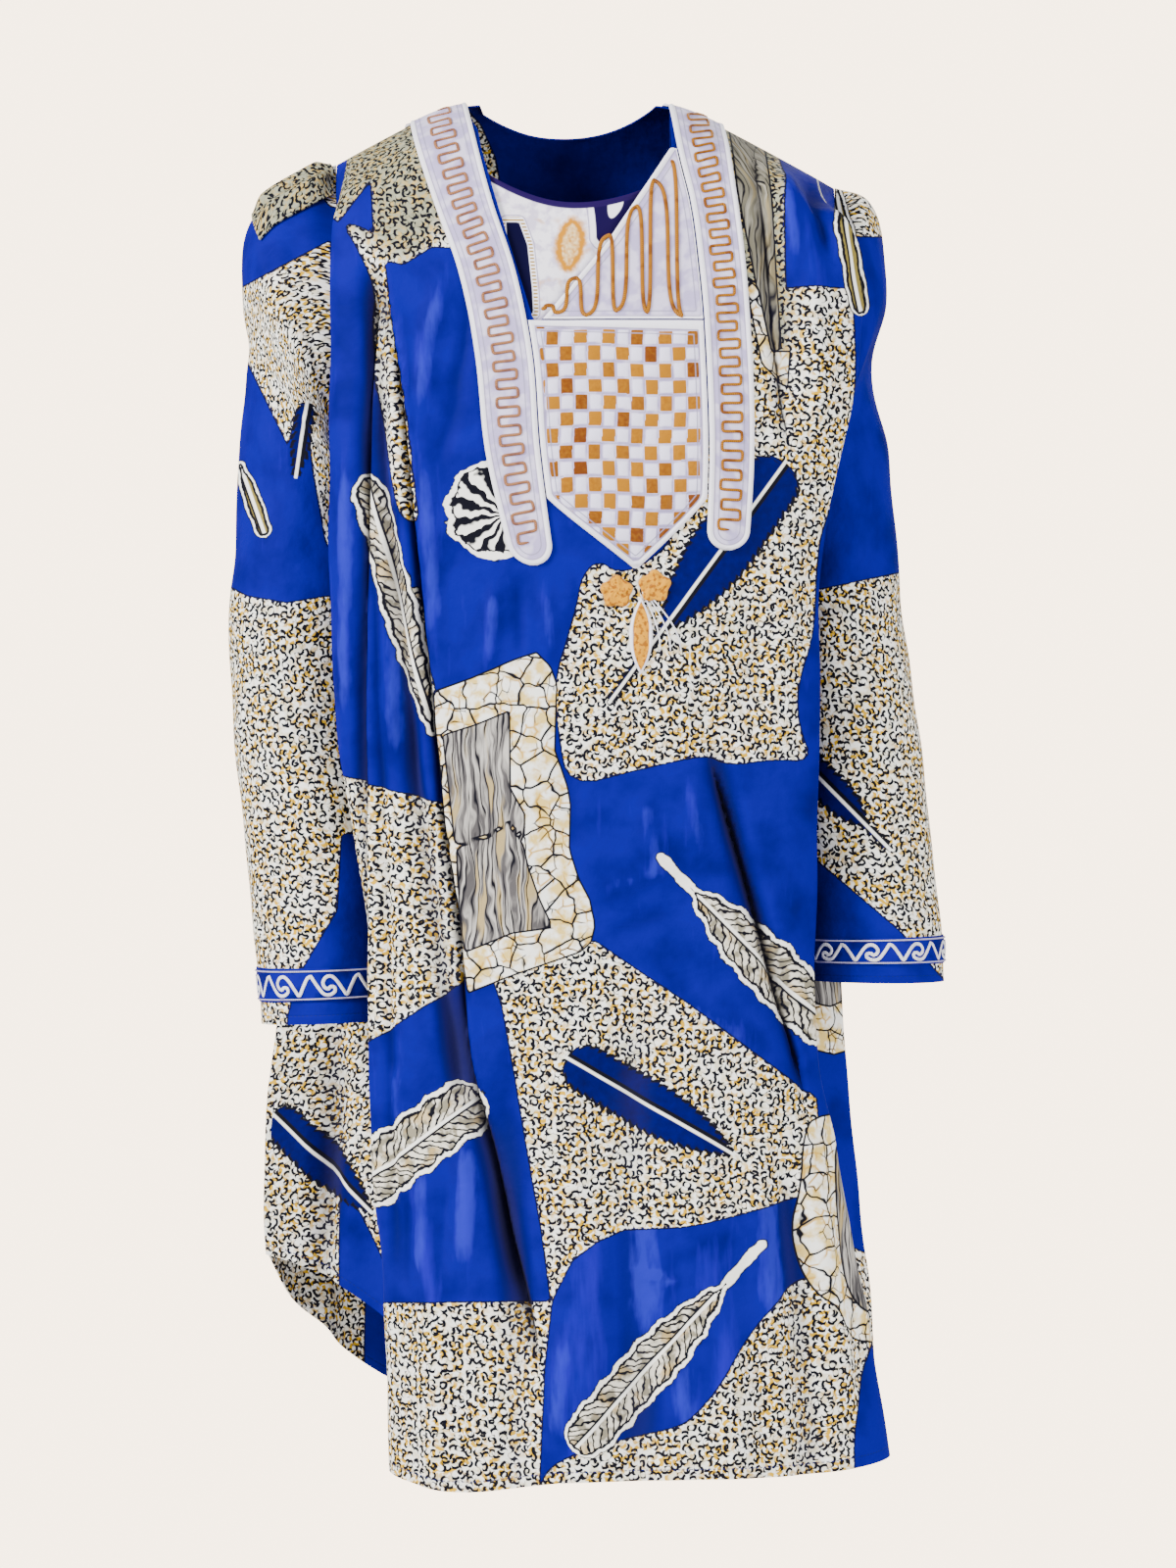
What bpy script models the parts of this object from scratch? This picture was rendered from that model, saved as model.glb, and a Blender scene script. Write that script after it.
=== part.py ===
"""Grand boubou robe: a worn over-robe with long sleeves and an embroidered neck, as hollow cloth.

Metres. +X is the wearer's left, the front faces -Y, +Z is up. The origin lies midway between
the two neck points, at the height of the shoulder seams. In every table the right half is at -X.
"""

import math

import bpy
import numpy as np

# ---------------------------------------------------------------- driving sizes
WALL = 0.002  # thickness of the cloth
SEAM = 0.0003  # gap between neighbouring pieces
TRIM_GAP = 0.0005  # gap under an embroidered piece
BAND_GAP = 0.0008  # gap under a neck band, which turns over the shoulder
INSET_GAP = 0.0012  # gap between the front panel and the inset behind it
TRIM = 0.0016  # thickness of an embroidered piece
BAND = 0.0012  # thickness of a cuff band
SHOULDER_ROUND = 0.055  # height over which the cloth turns over the shoulder
NECK_HALF = 0.072  # half width of the neck hole at the shoulder seam
NECK_DROP = 0.022  # how far the back neckline hangs below the shoulder seam
SLOPE_START = 0.085  # distance from the middle at which the shoulder begins to slope
SLOPE = 0.55  # fall of the shoulder for each metre outwards
WING_AT = 0.74  # share of a half panel that lies between its middle and the wing's fold
WING_OPENS = 0.060  # drop below the shoulder over which the wing's fold opens
ARMHOLE_HALF = 0.060  # half depth of an armhole
ARMHOLE_ROUND = 0.75  # power that rounds the armhole; 0.5 is an ellipse
UNDERARM = -0.275  # height of the underarm
TURN_STEPS = 5  # rows of the cloth's turn over the shoulder
ARMHOLE_STEPS = 12  # rows from the shoulder seam to the underarm


def table(columns, rows):
    """Columns by name, from rows of numbers."""
    return dict(zip(columns.split(), np.array(rows, float).T))


# Cross-sections by height. A half panel runs from its middle, `depth` in front of the arms' line,
# out to the fold of its wing at (x, y), and from there in to the side seam.
FRONT = table(
    "z depth right_x right_y left_x left_y",
    [
        (0.00, 0.074, 0.162, 0.046, 0.200, 0.046),
        (-0.06, 0.096, 0.166, 0.066, 0.206, 0.070),
        (-0.12, 0.114, 0.169, 0.082, 0.217, 0.084),
        (-0.22, 0.128, 0.170, 0.088, 0.211, 0.090),
        (-0.32, 0.134, 0.170, 0.090, 0.190, 0.090),
        (-0.46, 0.134, 0.165, 0.090, 0.186, 0.090),
        (-0.61, 0.136, 0.147, 0.096, 0.184, 0.092),
        (-0.70, 0.140, 0.142, 0.100, 0.184, 0.090),
        (-0.77, 0.144, 0.138, 0.102, 0.199, 0.084),
        (-0.89, 0.156, 0.129, 0.106, 0.222, 0.076),
        (-1.02, 0.168, 0.125, 0.108, 0.243, 0.072),
    ],
)
BACK = table(
    "z depth right_x right_y left_x left_y",
    [
        (0.00, 0.072, 0.160, 0.046, 0.194, 0.046),
        (-0.06, 0.094, 0.164, 0.066, 0.198, 0.070),
        (-0.12, 0.112, 0.170, 0.080, 0.200, 0.082),
        (-0.22, 0.126, 0.180, 0.086, 0.200, 0.086),
        (-0.32, 0.130, 0.190, 0.086, 0.198, 0.086),
        (-0.46, 0.134, 0.200, 0.084, 0.200, 0.082),
        (-0.61, 0.142, 0.211, 0.078, 0.206, 0.078),
        (-0.70, 0.150, 0.219, 0.074, 0.212, 0.074),
        (-0.80, 0.160, 0.227, 0.066, 0.220, 0.070),
        (-0.89, 0.172, 0.224, 0.062, 0.230, 0.066),
        (-1.02, 0.190, 0.212, 0.060, 0.240, 0.062),
    ],
)
# Distance of the armholes and side seams from the middle.
SIDE_SEAM = table(
    "z right_x left_x",
    [
        (0.00, 0.168, 0.200),
        (-0.06, 0.167, 0.200),
        (-0.12, 0.160, 0.186),
        (-0.20, 0.152, 0.168),
        (-0.28, 0.142, 0.157),
        (-0.36, 0.128, 0.154),
        (-0.50, 0.119, 0.154),
        (-0.62, 0.110, 0.154),
        (-0.70, 0.102, 0.160),
        (-0.77, 0.100, 0.178),
        (-0.89, 0.100, 0.205),
        (-1.02, 0.098, 0.222),
    ],
)
# Height of the hem, by place across: -1 and 1 are the side seams, 0 the middle.
HEM = table(
    "across front back",
    [
        (-1.00, -1.006, -0.958),
        (-0.86, -1.004, -0.905),
        (-0.74, -1.004, -0.864),
        (-0.55, -1.008, -0.905),
        (-0.30, -1.014, -0.972),
        (0.00, -1.006, -0.996),
        (0.40, -1.004, -1.002),
        (0.74, -0.998, -0.998),
        (1.00, -1.000, -0.998),
    ],
)

# Folds, front: a line from top to bottom, bowed sideways by `bow`, half as wide as `width`,
# raised by `rise` (a negative rise is a trough), fading out over `fade` at each end.
FOLD_COLUMNS = "x_top z_top x_low z_low bow width rise fade"
FRONT_FOLDS = [
    (-0.140, -0.110, -0.071, -0.760, -0.010, 0.013, -0.0100, 0.05),
    (-0.071, -0.700, -0.020, -0.900, 0.000, 0.016, -0.0080, 0.06),
    (-0.122, -0.150, -0.088, -0.560, -0.006, 0.012, 0.0060, 0.08),
    (-0.146, -0.200, -0.122, -0.900, 0.004, 0.008, -0.0050, 0.10),
    (0.148, -0.055, 0.164, -0.260, 0.003, 0.014, -0.0065, 0.05),
    (0.180, -0.070, 0.186, -0.260, 0.000, 0.014, 0.0050, 0.05),
    (0.104, -0.450, 0.178, -0.700, -0.006, 0.014, -0.0090, 0.05),
    (-0.045, -0.690, -0.036, -1.060, 0.006, 0.020, -0.0060, 0.08),
    (0.000, -0.640, 0.012, -1.080, 0.008, 0.030, 0.0070, 0.12),
    (0.056, -0.600, 0.062, -1.080, -0.006, 0.026, -0.0070, 0.12),
    (0.100, -0.720, 0.128, -1.080, 0.000, 0.028, 0.0080, 0.12),
    (0.150, -0.740, 0.186, -1.080, 0.004, 0.020, -0.0080, 0.08),
    (-0.096, -0.760, -0.086, -1.080, 0.000, 0.020, 0.0060, 0.10),
]
BACK_FOLDS = [
    (-0.150, -0.160, -0.190, -1.000, 0.004, 0.018, -0.0080, 0.08),
    (-0.110, -0.120, -0.130, -1.020, 0.006, 0.020, 0.0070, 0.10),
    (-0.060, -0.240, -0.070, -1.080, -0.006, 0.022, -0.0080, 0.12),
    (-0.014, -0.360, -0.006, -1.080, 0.004, 0.026, 0.0070, 0.14),
    (0.040, -0.220, 0.056, -1.080, 0.006, 0.022, -0.0080, 0.12),
    (0.092, -0.140, 0.114, -1.080, -0.004, 0.022, 0.0080, 0.10),
    (0.140, -0.120, 0.176, -1.080, 0.000, 0.018, -0.0080, 0.08),
]

# Rings of a sleeve: the inner and the outer end of each ring, its half depth and its middle.
SLEEVE_COLUMNS = "in_x in_z out_x out_z half y"
SLEEVES = {
    "right": [
        (0.160, -0.282, 0.190, -0.056, 0.062, 0.000),
        (0.154, -0.290, 0.222, -0.074, 0.064, 0.000),
        (0.149, -0.297, 0.238, -0.102, 0.064, 0.000),
        (0.146, -0.305, 0.239, -0.150, 0.062, -0.002),
        (0.143, -0.318, 0.233, -0.192, 0.058, -0.004),
        (0.141, -0.340, 0.240, -0.250, 0.056, -0.006),
        (0.140, -0.375, 0.2455, -0.325, 0.055, -0.008),
        (0.139, -0.415, 0.2475, -0.375, 0.054, -0.010),
        (0.138, -0.465, 0.246, -0.440, 0.053, -0.014),
        (0.135, -0.525, 0.240, -0.510, 0.052, -0.020),
        (0.130, -0.590, 0.232, -0.585, 0.050, -0.028),
        (0.127, -0.640, 0.226, -0.643, 0.048, -0.034),
        (0.125, -0.678, 0.222, -0.682, 0.047, -0.038),
    ],
    "left": [
        (0.176, -0.290, 0.224, -0.072, 0.063, 0.000),
        (0.171, -0.297, 0.236, -0.100, 0.064, 0.000),
        (0.169, -0.305, 0.239, -0.150, 0.062, -0.002),
        (0.168, -0.318, 0.230, -0.196, 0.058, -0.003),
        (0.168, -0.338, 0.238, -0.252, 0.057, -0.004),
        (0.169, -0.372, 0.246, -0.322, 0.056, -0.006),
        (0.170, -0.412, 0.252, -0.378, 0.055, -0.008),
        (0.172, -0.462, 0.2595, -0.438, 0.053, -0.012),
        (0.174, -0.522, 0.268, -0.508, 0.051, -0.018),
        (0.177, -0.580, 0.275, -0.574, 0.049, -0.024),
        (0.180, -0.620, 0.279, -0.619, 0.048, -0.030),
        (0.182, -0.650, 0.281, -0.651, 0.047, -0.034),
    ],
}
# Creases of a sleeve: a trough across it at ring `at`, `turns` round from the outer side.
CREASES = table(
    "at turn half_turn length rise slant",
    [
        (3.9, 0.10, 0.22, 0.7, -0.0040, 0.8),
        (5.6, 0.30, 0.20, 0.6, -0.0030, 1.0),
        (7.1, 0.05, 0.18, 0.5, -0.0030, -1.0),
        (8.2, 0.62, 0.22, 0.6, -0.0035, 0.8),
        (9.4, 0.25, 0.20, 0.5, -0.0025, -0.8),
    ],
)

# The V neckline and the two neck bands, by height: edges of the V, then each band's edges.
NECKLINE = table(
    "z right left",
    [
        (0.001, -0.0735, 0.0785),
        (-0.040, -0.0605, 0.0780),
        (-0.110, -0.0395, 0.0315),
        (-0.168, -0.0215, -0.0165),
    ],
)
NECK_BANDS = {
    "right": table(
        "z inner outer",
        [
            (0.000, -0.0725, -0.1170),
            (-0.040, -0.0625, -0.1075),
            (-0.080, -0.0515, -0.0945),
            (-0.130, -0.0350, -0.0765),
            (-0.190, -0.0228, -0.0642),
            (-0.260, -0.0172, -0.0566),
            (-0.345, -0.0060, -0.0370),
        ],
    ),
    "left": table(
        "z inner outer",
        [
            (0.000, 0.0765, 0.1150),
            (-0.040, 0.0830, 0.1205),
            (-0.080, 0.0925, 0.1270),
            (-0.130, 0.0990, 0.1325),
            (-0.190, 0.1035, 0.1368),
            (-0.260, 0.1055, 0.1382),
            (-0.334, 0.1035, 0.1340),
        ],
    ),
}
SHIELD_TOP = -0.1675
SHIELD_CORNERS = -0.296  # below this height the shield narrows to its point
SHIELD_POINT = (0.0523, -0.347)
FLAP_TOP = -0.042
INSET_RIGHT = -0.070  # ends of the inset, under the front panel
INSET_LEFT = 0.094
INSET_TOP = -0.046  # height of the inset's ends
INSET_SAG = 0.034  # how far its top edge hangs in the middle
INSET_LOW_LAP = 0.036  # how far it runs down behind the V's edge
GATHER_RISE = 0.0025  # half height of the gathers on the shoulder
GATHER_PITCH = 0.060  # one gather, as a share of a turn round the sleeve
GATHER_RINGS = (0.5, 2.3)  # first and last ring of the sleeve under the gathers
GATHER_TURNS = (-0.14, 0.09)  # their reach round the sleeve, from the back to the front
GATHER_LEAN = 0.012  # lean of the gathers, in turns for each ring
CUFF_RINGS = (1.05, 0.75, 0.45)  # places of the cuff band, in rings from the sleeve's end
BACK_BAND_REACH = 0.1165  # distance from the middle of the back band's outer edge
BACK_BAND_WIDTH = 0.038  # its width in the middle of the back
SIDE_GAP = 0.0010  # gap between pieces that lie side by side
ROSETTE_RADIUS = 0.0112
ROSETTE_RIGHT = (0.0385, -0.3640)  # centres of the pieces below the shield
ROSETTE_LEFT = (0.0660, -0.3600)
LEAF = (0.0560, -0.3960)
LEAF_HALF_WIDTH = 0.0085
LEAF_POINTS = 0.0135  # how far the leaf's two points reach past that
BULGE = 0.0010  # how far these pieces rise in the middle

# ---------------------------------------------------------------- colours of the plain materials
COLOURS = {
    "print_cloth": (0.035, 0.045, 0.50),
    "sleeve_cloth": (0.045, 0.055, 0.48),
    "embroidery_ground": (0.72, 0.66, 0.76),
    "gold_thread": (0.62, 0.28, 0.05),
    "inset_cloth": (0.80, 0.80, 0.86),
    "cuff_cloth": (0.03, 0.03, 0.35),
}


# ---------------------------------------------------------------- curves
def curve(at, knots, values):
    """Smooth curve through (knots, values), flat outside them: cubic, with the chord's slopes."""
    order = np.argsort(knots)
    knots = np.asarray(knots, float)[order]
    values = np.asarray(values, float)[order]
    slopes = np.gradient(values, knots, axis=0)
    at = np.clip(at, knots[0], knots[-1])
    i = np.clip(np.searchsorted(knots, at, side="right") - 1, 0, len(knots) - 2)
    width = knots[i + 1] - knots[i]
    u = (at - knots[i]) / width
    if values.ndim > 1:
        tail = (1,) * (values.ndim - 1)
        u = u.reshape(u.shape + tail)
        width = width.reshape(width.shape + tail)
    start = (2 * u**3 - 3 * u**2 + 1) * values[i] + (u**3 - 2 * u**2 + u) * width * slopes[i]
    end = (3 * u**2 - 2 * u**3) * values[i + 1] + (u**3 - u**2) * width * slopes[i + 1]
    return start + end


def ease(v):
    """0 to 1, flat at both ends."""
    v = np.clip(v, 0.0, 1.0)
    return v * v * (3 - 2 * v)


def by_side(data, name, right, z):
    """Column `name` of a table at height z, for the right half where `right` is true."""
    on_right = curve(z, data["z"], data["right_" + name])
    on_left = curve(z, data["z"], data["left_" + name])
    return np.where(right, on_right, on_left)


def shoulder_height(x):
    """Height of the shoulder seam at a distance x from the middle, eased where the slope begins."""
    out = np.abs(x) - SLOPE_START
    return -SLOPE * 0.5 * (out + np.sqrt(out * out + 0.0004))


def tip(right):
    """Distance from the middle of the shoulder seam's outer end."""
    return np.where(right, SIDE_SEAM["right_x"][0], SIDE_SEAM["left_x"][0])


def armhole(right, z):
    """Half depth of the armhole at height z: a lens from the shoulder to the underarm."""
    top = shoulder_height(tip(right))
    middle = (top + UNDERARM) / 2
    half = (top - UNDERARM) / 2
    return ARMHOLE_HALF * np.clip(1 - ((z - middle) / half) ** 2, 0, None) ** ARMHOLE_ROUND


# ---------------------------------------------------------------- the body's two panels
def at_shoulder(s):
    """Signed place along the shoulder seam for a place s across the panel."""
    return np.sign(s) * tip(s < 0) * np.sin(np.abs(s) * math.pi / 2) ** 0.92


def panel(sections, side, s, drop):
    """Points of a panel without folds. `side` is -1 for the front and 1 for the back.

    s runs from -1 at the right side seam to 1 at the left one. `drop` is the height below the
    shoulder seam. Out to the wing's fold the section is a quarter ellipse, then it eases inwards
    to the seam. Over the shoulder it all shrinks to the seam's line in a quarter round.
    """
    s, drop = np.broadcast_arrays(np.asarray(s, float), np.asarray(drop, float))
    right = s < 0
    x_seam = at_shoulder(s)
    z = shoulder_height(x_seam) - drop
    wing_x = by_side(sections, "x", right, z)
    wing_y = by_side(sections, "y", right, z)
    depth = curve(z, sections["z"], sections["depth"])
    seam_x = by_side(SIDE_SEAM, "x", right, z)
    seam_y = armhole(right, z) + SEAM / 2
    angle = np.clip(np.abs(s) / WING_AT, 0, 1) * math.pi / 2
    beyond = np.clip((np.abs(s) - WING_AT) / (1 - WING_AT), 0, 1)
    x = wing_x * np.sin(angle) + (seam_x - wing_x) * ease(beyond**0.6)
    y = np.where(beyond > 0, wing_y + (seam_y - wing_y) * beyond, wing_y + (depth - wing_y) * np.cos(angle))
    opened = ease(drop / WING_OPENS)
    x = x_seam + (np.sign(s) * x - x_seam) * opened
    round_over = np.sqrt(1 - (1 - np.clip(drop / SHOULDER_ROUND, 0, 1)) ** 2)
    y = side * (SEAM / 2 + (y - SEAM / 2) * round_over)
    return np.stack([x, y, z], axis=-1)


def unit(v):
    return v / np.maximum(np.linalg.norm(v, axis=-1, keepdims=True), 1e-12)


def normals_of(surface, side, s, drop):
    """Unit outward normals of surface(s, drop), from small steps along it; level at the seams."""
    step = 0.003
    fall = 0.005
    left, right = np.minimum(s + step, 1), np.maximum(s - step, -1)
    low = np.maximum(drop - fall, 0)
    across = surface(left, drop) - surface(right, drop)
    normal = side * unit(np.cross(across, surface(s, low + 2 * fall) - surface(s, low)))
    seam = (drop < 1e-6) | (np.abs(s) > 1 - 1e-6)
    normal[..., 1] = np.where(seam, 0, normal[..., 1])
    return unit(normal)


def folds(rows, x, z):
    """Height of the folds at (x, z): round ridges and troughs beside their own lines."""
    total = np.zeros(np.broadcast(x, z).shape)
    for x_top, z_top, x_low, z_low, bow, width, rise, fade in rows:
        t = (z_top - z) / (z_top - z_low)
        line = x_top + (x_low - x_top) * t + bow * np.sin(math.pi * np.clip(t, 0, 1))
        beside = np.clip(np.abs(x - line) / width, 0, 1)
        along = ease((z_top - z) / fade) * ease((z - z_low) / fade)
        total = total + rise * along * np.cos(beside * math.pi / 2) ** 2
    return total


def folded(sections, rows, side, s, drop):
    """Points of a panel with its folds, and the plain panel's normals."""
    s, drop = np.broadcast_arrays(np.asarray(s, float), np.asarray(drop, float))
    flat = panel(sections, side, s, drop)
    normal = normals_of(lambda a, b: panel(sections, side, a, b), side, s, drop)
    inside = 1 - ease((np.abs(s) - 0.80) / 0.12)
    rise = folds(rows, flat[..., 0], flat[..., 2]) * ease(drop / 0.03) * inside
    return flat + normal * rise[..., None], normal


def place(sections, side, x, z):
    """The s and drop at which the plain panel passes through (x, z), by halving."""
    x, z = np.broadcast_arrays(np.asarray(x, float), np.asarray(z, float))
    low = np.full(x.shape, -WING_AT)
    high = np.full(x.shape, WING_AT)
    for _ in range(26):
        s = (low + high) / 2
        drop = np.maximum(shoulder_height(at_shoulder(s)) - z, 0)
        short = panel(sections, side, s, drop)[..., 0] < x
        low = np.where(short, s, low)
        high = np.where(short, high, s)
    return s, np.maximum(shoulder_height(at_shoulder(s)) - z, 0)


def neckline_height(x):
    """Height of the V's edge at x."""
    right = curve(x, NECKLINE["right"], NECKLINE["z"])
    left = np.interp(x, NECKLINE["left"][:0:-1], NECKLINE["z"][:0:-1])
    return np.where(x < NECKLINE["right"][-1], right, left)


def back_neck_height(x):
    """Height of the back neckline at x: a shallow bow."""
    return -NECK_DROP * (1 - (x / NECK_HALF) ** 2)


# ---------------------------------------------------------------- meshes
def material(name):
    made = bpy.data.materials.get(name) or bpy.data.materials.new(name)
    made.use_nodes = True
    made.diffuse_color = (*COLOURS[name], 1)
    shader = made.node_tree.nodes["Principled BSDF"]
    shader.inputs["Base Color"].default_value = (*COLOURS[name], 1)
    shader.inputs["Roughness"].default_value = 0.75
    return made


def grid_normals(points, wrap):
    """Unit normals of a grid of points (rows, columns, 3)."""
    if wrap:
        across = np.roll(points, -1, axis=1) - np.roll(points, 1, axis=1)
    else:
        across = np.gradient(points, axis=1)
    return unit(np.cross(across, np.gradient(points, axis=0)))


def solid(name, slot, outer, inner, wrap=False, keep=None):
    """One closed body between two grids of points, with a rim wherever the grid ends.

    `wrap` joins the last column to the first. `keep` says which cells of the grid there are.
    Points that fall together are one point. Each cell is cut along its shorter diagonal.
    """
    rows, columns = outer.shape[:2]
    flat = outer.reshape(-1, 3)
    _, first, same = np.unique(flat.round(7), axis=0, return_index=True, return_inverse=True)
    index = same.reshape(rows, columns)
    if wrap:
        index = np.concatenate([index, index[:, :1]], axis=1)
    kept = np.ones((index.shape[0] - 1, index.shape[1] - 1), bool) if keep is None else keep
    a, b = index[:-1, :-1][kept], index[:-1, 1:][kept]
    d, c = index[1:, :-1][kept], index[1:, 1:][kept]
    spots = flat[first]
    short = np.linalg.norm(spots[a] - spots[c], axis=1) <= np.linalg.norm(spots[b] - spots[d], axis=1)
    short = short[:, None]
    one = np.where(short, np.stack([a, b, c], 1), np.stack([a, b, d], 1))
    other = np.where(short, np.stack([a, c, d], 1), np.stack([b, c, d], 1))
    top = np.concatenate([one, other])
    top = top[(top != np.roll(top, 1, axis=1)).all(axis=1)]
    used, top = np.unique(top, return_inverse=True)
    top = top.reshape(-1, 3)
    count = len(used)
    pairs = np.concatenate([top[:, [0, 1]], top[:, [1, 2]], top[:, [2, 0]]])
    there = set(map(tuple, pairs.tolist()))
    p, q = np.array([(m, n) for m, n in there if (n, m) not in there]).T
    rim = np.concatenate([np.stack([q, p, p + count], 1), np.stack([q, p + count, q + count], 1)])
    faces = np.concatenate([top, top[:, ::-1] + count, rim])
    chosen = first[used]
    points = np.concatenate([flat[chosen], inner.reshape(-1, 3)[chosen]])
    corner = points[faces]
    if np.einsum("ij,ij->i", corner[:, 0], np.cross(corner[:, 1], corner[:, 2])).sum() < 0:
        faces = faces[:, ::-1]
    mesh = bpy.data.meshes.new(name)
    mesh.from_pydata(points.tolist(), [], faces.tolist())
    mesh.polygons.foreach_set("use_smooth", np.ones(len(faces), bool))
    mesh.set_sharp_from_angle(angle=math.radians(50))
    mesh.materials.append(material(slot))
    bpy.context.scene.collection.objects.link(bpy.data.objects.new(name, mesh))


# ---------------------------------------------------------------- panels
def armhole_heights(right):
    """Heights of a panel's rows down the armhole: close over the shoulder, then evenly round it."""
    top = shoulder_height(tip(right))
    half = (top - UNDERARM) / 2
    turn = SHOULDER_ROUND * (1 - np.cos(np.linspace(0, math.pi / 2, TURN_STEPS + 1)))
    low = np.linspace(np.arccos(1 - SHOULDER_ROUND / half), math.pi, ARMHOLE_STEPS - TURN_STEPS + 1)[1:]
    return np.concatenate([top - turn, top - half * (1 - np.cos(low))])


def column_heights(top, last, right, rows):
    """Heights down columns from the shoulder seam at `top`, level at the underarm."""
    armhole_rows = armhole_heights(right)
    fall = armhole_rows[0] - armhole_rows
    turn = fall[: TURN_STEPS + 1]
    share = (fall[TURN_STEPS:] - turn[-1]) / (fall[-1] - turn[-1])
    share = share.reshape((-1,) + (1,) * np.ndim(top))
    lower = np.linspace(0, 1, rows + 1)[1:].reshape((-1,) + (1,) * np.ndim(top))
    over = top - turn[:-1].reshape((-1,) + (1,) * np.ndim(top))
    upper = top - turn[-1] + (UNDERARM - top + turn[-1]) * share
    return np.concatenate([over, upper, UNDERARM + (last - UNDERARM) * lower + 0 * top])


def make_panel(name, sections, rows, side, across, inside, down, top_z, steep=None):
    """A panel's wall, from the shoulder seam, or the neckline where `inside` is true, to the hem.

    `steep` is the cell across whose upper part the neckline runs straight down.
    """
    s = np.asarray(across)
    seam = shoulder_height(at_shoulder(s))
    last = curve(s, HEM["across"], HEM["front" if side < 0 else "back"])
    z = np.stack([column_heights(a, b, c < 0, down) for a, b, c in zip(seam, last, s)], axis=1)
    keep = np.ones((len(z) - 1, len(s) - 1), bool)
    for i in np.flatnonzero(inside):
        edge = seam[i]
        for _ in range(12):
            edge = min(top_z(panel(sections, side, s[i], seam[i] - edge)[0]), seam[i])
        row = int(np.argmin(np.abs(z[:, i] - edge)))
        z[: row + 1, i] = edge
        if i == steep:
            keep[: row - 1, i] = False
    drop = np.maximum(seam[None, :] - z, 0)
    s, drop = np.broadcast_arrays(s[None, :], drop)
    middle, _ = folded(sections, rows, side, s, drop)
    normal = normals_of(lambda a, b: folded(sections, rows, side, a, b)[0], side, s, drop)
    solid(name, "print_cloth", middle + normal * WALL / 2, middle - normal * WALL / 2, keep=keep)


def spaced(*stretches):
    """Places from (start, end, cells) stretches that follow one another."""
    parts = [np.linspace(a, b, n, endpoint=False) for a, b, n in stretches]
    return np.concatenate([*parts, [stretches[-1][1]]])


def neck_columns():
    """Places across the front where the V's edge crosses the rows, so that its steps are short."""
    z = column_heights(shoulder_height(0.075), -1.0, True, 1)
    z = z[(z > -0.160) & (z < -0.001)]
    right = place(FRONT, -1, curve(z, NECKLINE["z"], NECKLINE["right"]), z)[0]
    low = z[z < NECKLINE["z"][1] - 0.008]
    left = place(FRONT, -1, np.interp(-low, -NECKLINE["z"], NECKLINE["left"]), low)[0]
    return right, left[::-1]


def make_panels():
    v_right, v_left, v_z = NECKLINE["right"], NECKLINE["left"], NECKLINE["z"]
    ends = place(FRONT, -1, [v_right[0], v_right[-1], v_left[-1], v_left[1]], [0, v_z[-1], v_z[-1], FLAP_TOP])
    a, b, c, d = ends[0].tolist()
    right, left = neck_columns()
    across = np.concatenate([
        spaced((-1, -WING_AT, 5), (-WING_AT, a, 8)), right, [b, c], left,
        spaced((d, WING_AT, 9), (WING_AT, 1, 5)),
    ])
    inside = (across > a + 1e-9) & (across < d - 1e-9)
    steep = int(np.flatnonzero(inside)[-1])
    make_panel("front_panel", FRONT, FRONT_FOLDS, -1, across, inside, 17, neckline_height, steep)
    bow = np.array([0.12, 0.48, 0.84, 1.0])
    half = NECK_HALF * np.sqrt(1 - bow)
    right = place(BACK, 1, -np.append(NECK_HALF, half), -0.004)[0]
    across = np.concatenate([
        spaced((-1, -WING_AT, 5), (-WING_AT, right[0], 6))[:-1], right, -right[-2::-1],
        spaced((-right[0], WING_AT, 6), (WING_AT, 1, 5))[1:],
    ])
    inside = np.abs(across) < -right[0] - 1e-9
    make_panel("back_panel", BACK, BACK_FOLDS, 1, across, inside, 12, back_neck_height)


# ---------------------------------------------------------------- sleeves
def ring_turns(side):
    """Turns of a sleeve's points, level with the rows of the armhole: 0 outside, then to the front."""
    z = armhole_heights(side == "right")
    half_way = np.arccos(np.clip(1 - (z[0] - z) / (z[0] - z[-1]) * 2, -1, 1)) / (2 * math.pi)
    return np.concatenate([half_way, 1 - half_way[-2:0:-1]])


def sleeve_rings(side):
    """Rings of a sleeve: the armhole's own edge, then the rows of its table."""
    sign = -1 if side == "right" else 1
    z = armhole_heights(side == "right")
    front = panel(FRONT, -1, float(sign), z[0] - z)
    back = panel(BACK, 1, float(sign), z[0] - z)
    edge = np.concatenate([front, back[-2:0:-1]])
    edge[[0, ARMHOLE_STEPS], 1] = 0
    edge[:, 0] += sign * (WALL / 2 + TRIM_GAP)
    turn = ring_turns(side) * 2 * math.pi
    rings = [edge]
    for in_x, in_z, out_x, out_z, half, y in SLEEVES[side]:
        x = (in_x + out_x) / 2 + (out_x - in_x) / 2 * np.cos(turn)
        z = (in_z + out_z) / 2 + (out_z - in_z) / 2 * np.cos(turn)
        rings.append(np.stack([sign * x, y - half * np.sin(turn), z], axis=1))
    return np.array(rings)


def creases(at, turn):
    """Height of a sleeve's creases at ring `at` and `turn` round."""
    total = np.zeros(np.broadcast(at, turn).shape)
    for i in range(len(CREASES["at"])):
        c = {name: values[i] for name, values in CREASES.items()}
        away = (turn - c["turn"] + 0.5) % 1 - 0.5
        along = (at - c["at"] - c["slant"] * away) / c["length"]
        total = total + c["rise"] * np.exp(-(along**2)) * ease(1 - np.abs(away) / c["half_turn"])
    return total


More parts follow.
